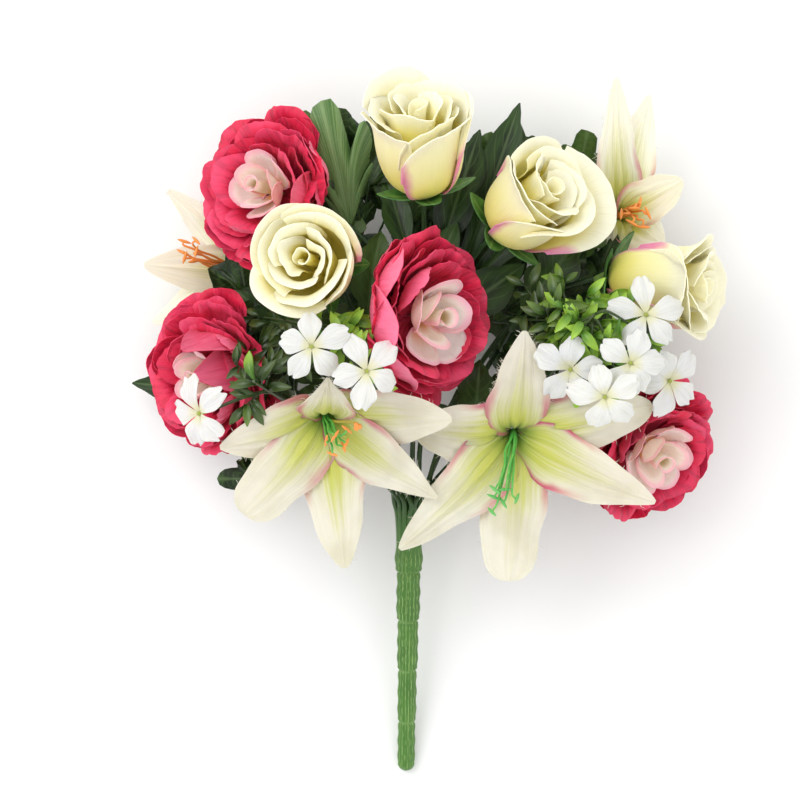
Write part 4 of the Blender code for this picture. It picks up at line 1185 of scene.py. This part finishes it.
def hand_leaf(root, tip, fan, fingers, depth, luck):
    """Leaf pressed like an open hand: rounded fingers fan out from its stalk, with valleys between them."""
    length, *frame_of_leaf = leaf_frame(root, tip)
    u, v = across_grid(14, 8 * fingers + 1)
    valley = np.cos(pi / 2 * fingers * (v + 1)) ** 2
    far = length * (1.09 - 0.85 * np.sqrt(v * v + 0.01) + 0.33 * v * v) * (1 - depth * valley**2.4)
    reach = far * (1 + 0.02 * np.sin(23 * v + 20 * luck)) * u
    angle = fan * np.sign(v) * np.abs(v) ** 0.8 * (1 - 0.25 * np.sin(pi * u))
    rise = 0.3 * length * u * (1 - u) - 0.02 * length * valley * u
    rise = rise + 0.04 * length * np.sin(6 * u + 4 * v + 9 * luck) * u - 0.3 * length * v * v * u
    points = leaf_points(root, *frame_of_leaf, reach * np.cos(angle), reach * np.sin(angle), rise)
    return points, fingers / 5, luck, {"across": np.abs(2 * ((v + 1) / 2 * fingers % 1) - 1)}


def paint_leaf(board):
    u, v, luck = board.marks("along", "across", "chance")
    edge = abs(v)
    place = board.place()
    cloud = board.noise(place, 70.0)
    weave = board.noise(place, 1500.0)
    line = abs(board.maths("SINE", (8.0 * u - 2.2 * edge + 0.25 * cloud) * pi))
    side_vein = board.rise(line, 0.3, 0.0) * board.rise(edge, 1.0, 0.5)
    midrib = board.rise(edge, 0.14, 0.02)
    shade = board.noise(board.arrow(edge * 2.0, u * 4.0, luck * 60.0), 1.0)
    fine = board.noise(board.arrow(v * 22.0, u * 1.6, shade), 1.0, 3.0)
    broad = board.coats((80, 116, 62), (board.rise(fine, 0.35, 0.65), (122, 152, 98)))
    colour = board.coats(
        (20, 38, 12),
        (board.rise(shade, 0.35, 0.7), (46, 74, 26)),
        (board.rise(luck, 0.45, 1.0) * 0.6, (88, 120, 54)),
        (board.rise(board.mark("rank"), 0.8, 0.9), broad),
        (board.maths("MAXIMUM", side_vein * 0.2, midrib * 0.3), (120, 146, 98)),
    )
    return colour, 0.26 + 0.25 * cloud, weave * 0.2 + cloud * 0.8


leaf_finish = finish("leaf cloth", paint_leaf, 0.4, Specular_IOR_Level=0.3)
collars = {name: point_on(stem_line(stem), along) for name, (stem, along, _) in SPRAYS.items()}
extra = {name: [] for name in SPRAYS}
for x, y, spread in LEAF_MASS:
    for _ in range(max(1, round(LEAF_CROWD * (spread / 10) ** 2))):
        away, about = spread * sqrt(chance.random()), 2 * pi * chance.random()
        spot = np.array((x + away * cos(about), y + away * sin(about), 24 + 46 * chance.random()))
        name = min(SPRAYS, key=lambda spray: norm(collars[spray][0][:2] - spot[:2] + (0, 18)))
        heading = atan2(spot[1] + 75, spot[0] + 12) + sway(1.3)
        point = unit((cos(heading), sin(heading), 0.5 * (chance.random() - 0.3)))
        long = 26 + 18 * chance.random()
        extra[name].append((spot - 0.5 * long * point, spot + 0.5 * long * point, chance.random()))
for name, (_, _, leaves) in SPRAYS.items():
    centre, ahead = collars[name]
    ahead = unit(ahead)
    sheets = []
    twigs = [([centre + along * ahead for along in SLEEVE[0]], SLEEVE[1], 0.0)]
    for tip, half_width, *kind in leaves:
        reach = tip - centre
        outward = unit(reach - np.dot(reach, ahead) * ahead)
        luck = chance.random()
        if "hand" in kind:
            sheets.append(hand_leaf(HAND_ROOT, tip, half_width, 5, 0.34, 0.95))
            bowed, end = (centre + HAND_ROOT) / 2, HAND_ROOT + 6 * unit(np.subtract(tip, HAND_ROOT))
            twigs.append(((centre, bowed, HAND_ROOT, end), (1.6, 1.3, 1.1, 0.8), 0.0))
        else:
            sheets.append(blade_leaf(centre + 3.0 * outward, tip, half_width, "resting" in kind, luck))
    for root, tip, luck in extra[name]:
        if luck < 0.6:
            sheets.append(hand_leaf(root, tip, 0.8 + 0.4 * chance.random(), 3, 0.26, chance.random()))
        else:
            sheets.append(blade_leaf(root, tip, 9 + 4 * chance.random(), False, chance.random()))
        start = centre + sway(7) * ahead
        bowed = (start + root) / 2 + (0, 0, sway(6))
        twigs.append(((start, bowed, root, root + 4 * unit(tip - root)), (1.0, 0.8, 0.7, 0.6), 0.0))
    sleeve = stalks(twigs, stem_finish, sides=9, steps=4)
    above_floor(sleeve)
    cloth = sheet_mesh(name, sheets, LEAF_CLOTH)
    for mesh, label, dress in ((cloth, "cloth", leaf_finish), (sleeve, "sleeve", stem_finish)):
        made = laid(f"{name}_{label}", mesh, whole, dress)
        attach(made, "root")
        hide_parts(name)


# Sprigs: glossy soft plastic stalks with small lime spoon leaves in pairs, moulded in one, and
# thin twigs that carry the white florets.
SPRIG_TWIGS = {
    "sprig_right": (14, [f"floret_right_{k}" for k in range(1, 6)]),
    "sprig_left": (8, ["floret_left_1", "floret_left_2"]),
    "sprig_far_left": (8, ["floret_left_3"]),
}
SPRIG_BRANCHES = {
    "sprig_right": (
        (62, 84, 104), (74, 66, 118), (84, 88, 108), (100, 78, 114), (116, 62, 122), (88, 46, 122),
        (106, 34, 118), (128, 70, 106), (70, 46, 112), (110, 76, 104), (94, 62, 126), (60, 64, 96),
        (80, 74, 124), (118, 48, 118), (104, 44, 124), (98, 20, 126), (120, 22, 124), (80, 52, 126),
        (72, 30, 118), (140, 50, 116),
    ),
    "sprig_left": (
        (-74, 62, 146), (-44, 62, 142), (-30, 44, 146), (-96, 62, 92), (-110, 44, 84), (-84, 34, 100),
        (-100, 18, 84), (-106, 66, 76), (-66, 76, 110), (-30, 20, 150),
    ),
    "sprig_far_left": ((-118, 36, 122), (-112, 10, 130), (-96, 34, 124)),
}
BRANCH_LEAVES = 7
SPOON_HALF = (0.024, 0.145)
SPOON_THICK = 0.03


def spoon_tree():
    """Small leaves on a stalk: each point of the plan has one, along its direction and at its length."""
    board = tree_with("spoon leaves", Leaf="Object")
    leaf = board.node("GeometryNodeObjectInfo", {}, {"Object": board.given("Leaf")}, "Geometry")
    ahead, upper = board.mark("ahead", True), board.mark("upper", True)
    axes = {"primary_axis": "X", "secondary_axis": "Z"}
    turned = board.node("FunctionNodeAxesToRotation", axes, {0: ahead, 1: upper})
    close_tree(board, board.node("GeometryNodeInstanceOnPoints", {}, {
        "Points": board.given("Plan"), "Instance": leaf, "Rotation": turned,
        "Scale": board.mark("length") * board.arrow(1.0, 1.0, 1.0),
    }))
    return board


def paint_sprig(board):
    u, v, lime = board.marks("along", "across", "lime")
    cloud = board.noise(board.place(), 130.0)
    tips = board.coats((66, 86, 34), (lime, (152, 194, 62)))
    colour = board.coats(
        (40, 62, 24),
        (lime, (74, 122, 32)),
        (board.rise(u + 0.5 * (cloud - 0.5), 0.2, 0.85), tips),
        (0.4 * board.rise(abs(v), 0.12, 0.0), tips),
    )
    return colour, 0.25 + 0.15 * cloud, cloud * 0.3


def twig(start, end, axis, arch, straight, points):
    """Points along a twig that leaves along a sprig's axis and comes straight up to its end."""
    path = (start, start + arch * norm(end - start) * axis, end - straight, end)
    return bezier(path, np.linspace(0, 1, points))


sprig_finish = finish("glossy sprig", paint_sprig, 0.3)
u, v = across_grid(12, 7, 1.4)
half = SPOON_HALF[0] + SPOON_HALF[1] * np.sin(pi * u**1.7) ** 0.85 * np.clip((1 - u) * 12, 0.1, 1) ** 0.5
spoon = np.stack([u, v * half, 0.22 * np.sin(pi * u) - 0.3 * u * u + 0.5 * np.abs(v) ** 2 * half], -1)
spoon_leaf = bpy.data.objects.new("spoon", sheet_mesh("spoon", [(spoon, 0.0, 0.5)], SPOON_THICK))
SPOONS = spoon_tree()
for name, (count, florets) in SPRIG_TWIGS.items():
    foot, top = np.array(SPRIGS[name], float)
    stalk = top - foot
    axis = unit(stalk)
    side, other = square_to(axis)
    lines = [((foot, foot + stalk / 2, foot + stalk), (1.8, 1.5, 1.0), 0.0)]
    for k, floret in enumerate(florets):
        middle, facing, _ = FLORETS[floret]
        facing = unit(facing)
        end = middle - (FLORET_TUBE + 0.3) * facing
        line = twig(foot + (0.35 + 0.1 * k) * stalk, end, axis, 0.4, 8 * facing, 5)
        lines.append((line, np.linspace(1.2, 1.0, 5), 0.0))
    branches = []
    for k, end in enumerate(np.array(SPRIG_BRANCHES[name], float)):
        branches.append(twig(foot + (0.45 + 0.05 * k) * stalk, end, axis, 0.45, 5 * axis, 6))
        lines.append((branches[-1], np.linspace(1.0, 0.5, 6), 0.0))
    roots, aheads, uppers, lengths = [], [], [], []
    for k in range(count):
        level = 0.5 + 0.5 * k / (count - 1)
        ahead = unit(0.85 * spoke(2.4 * k, side, other) + (0.35 + 0.4 * chance.random()) * axis)
        long = (24 - 7 * level) * (0.8 + 0.4 * chance.random())
        if name == "sprig_far_left" and ahead[1] < -0.2:
            continue
        roots.append(foot + level * stalk)
        aheads.append(ahead)
        uppers.append(unit(axis - np.dot(axis, ahead) * ahead))
        lengths.append(long)
    for line in branches:
        for k in range(BRANCH_LEAVES):
            roots.append(point_on(line, 1 - 0.7 * k / BRANCH_LEAVES)[0])
            spread = unit(chance.normal(size=3) * (1, 1, 0.6))
            ahead = unit(0.9 * spread + 0.5 * unit(line[-1] - line[-2]) + (0, 0, 0.3))
            aheads.append(ahead)
            uppers.append(unit(np.array((0, 0, 1.0)) - ahead[2] * ahead))
            lengths.append(11 + 8 * chance.random())
    roots = np.array(roots)
    lime = (roots[:, 2] - 128) / 14
    if name == "sprig_right":
        lime = (roots[:, 0] + 0.4 * (roots[:, 2] - 115) - 76) / 24
    lime = np.clip(lime + 0.5 * (chance.random(len(roots)) - 0.5), 0, 1)
    plan = bpy.data.meshes.new("spoon plan")
    plan.from_pydata(roots.tolist(), [], [])
    add_marks(plan, {"ahead": aheads, "upper": uppers, "length": lengths, "lime": lime})
    twigs = stalks(lines, sprig_finish, sides=8, steps=6)
    spoons = grown(plan, SPOONS, Leaf=spoon_leaf, Finish=sprig_finish)
    for mesh, label in ((twigs, "twigs"), (spoons, "spoons")):
        made = laid(f"{name}_{label}", mesh, whole, sprig_finish)
        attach(made, "root")
        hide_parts(name)
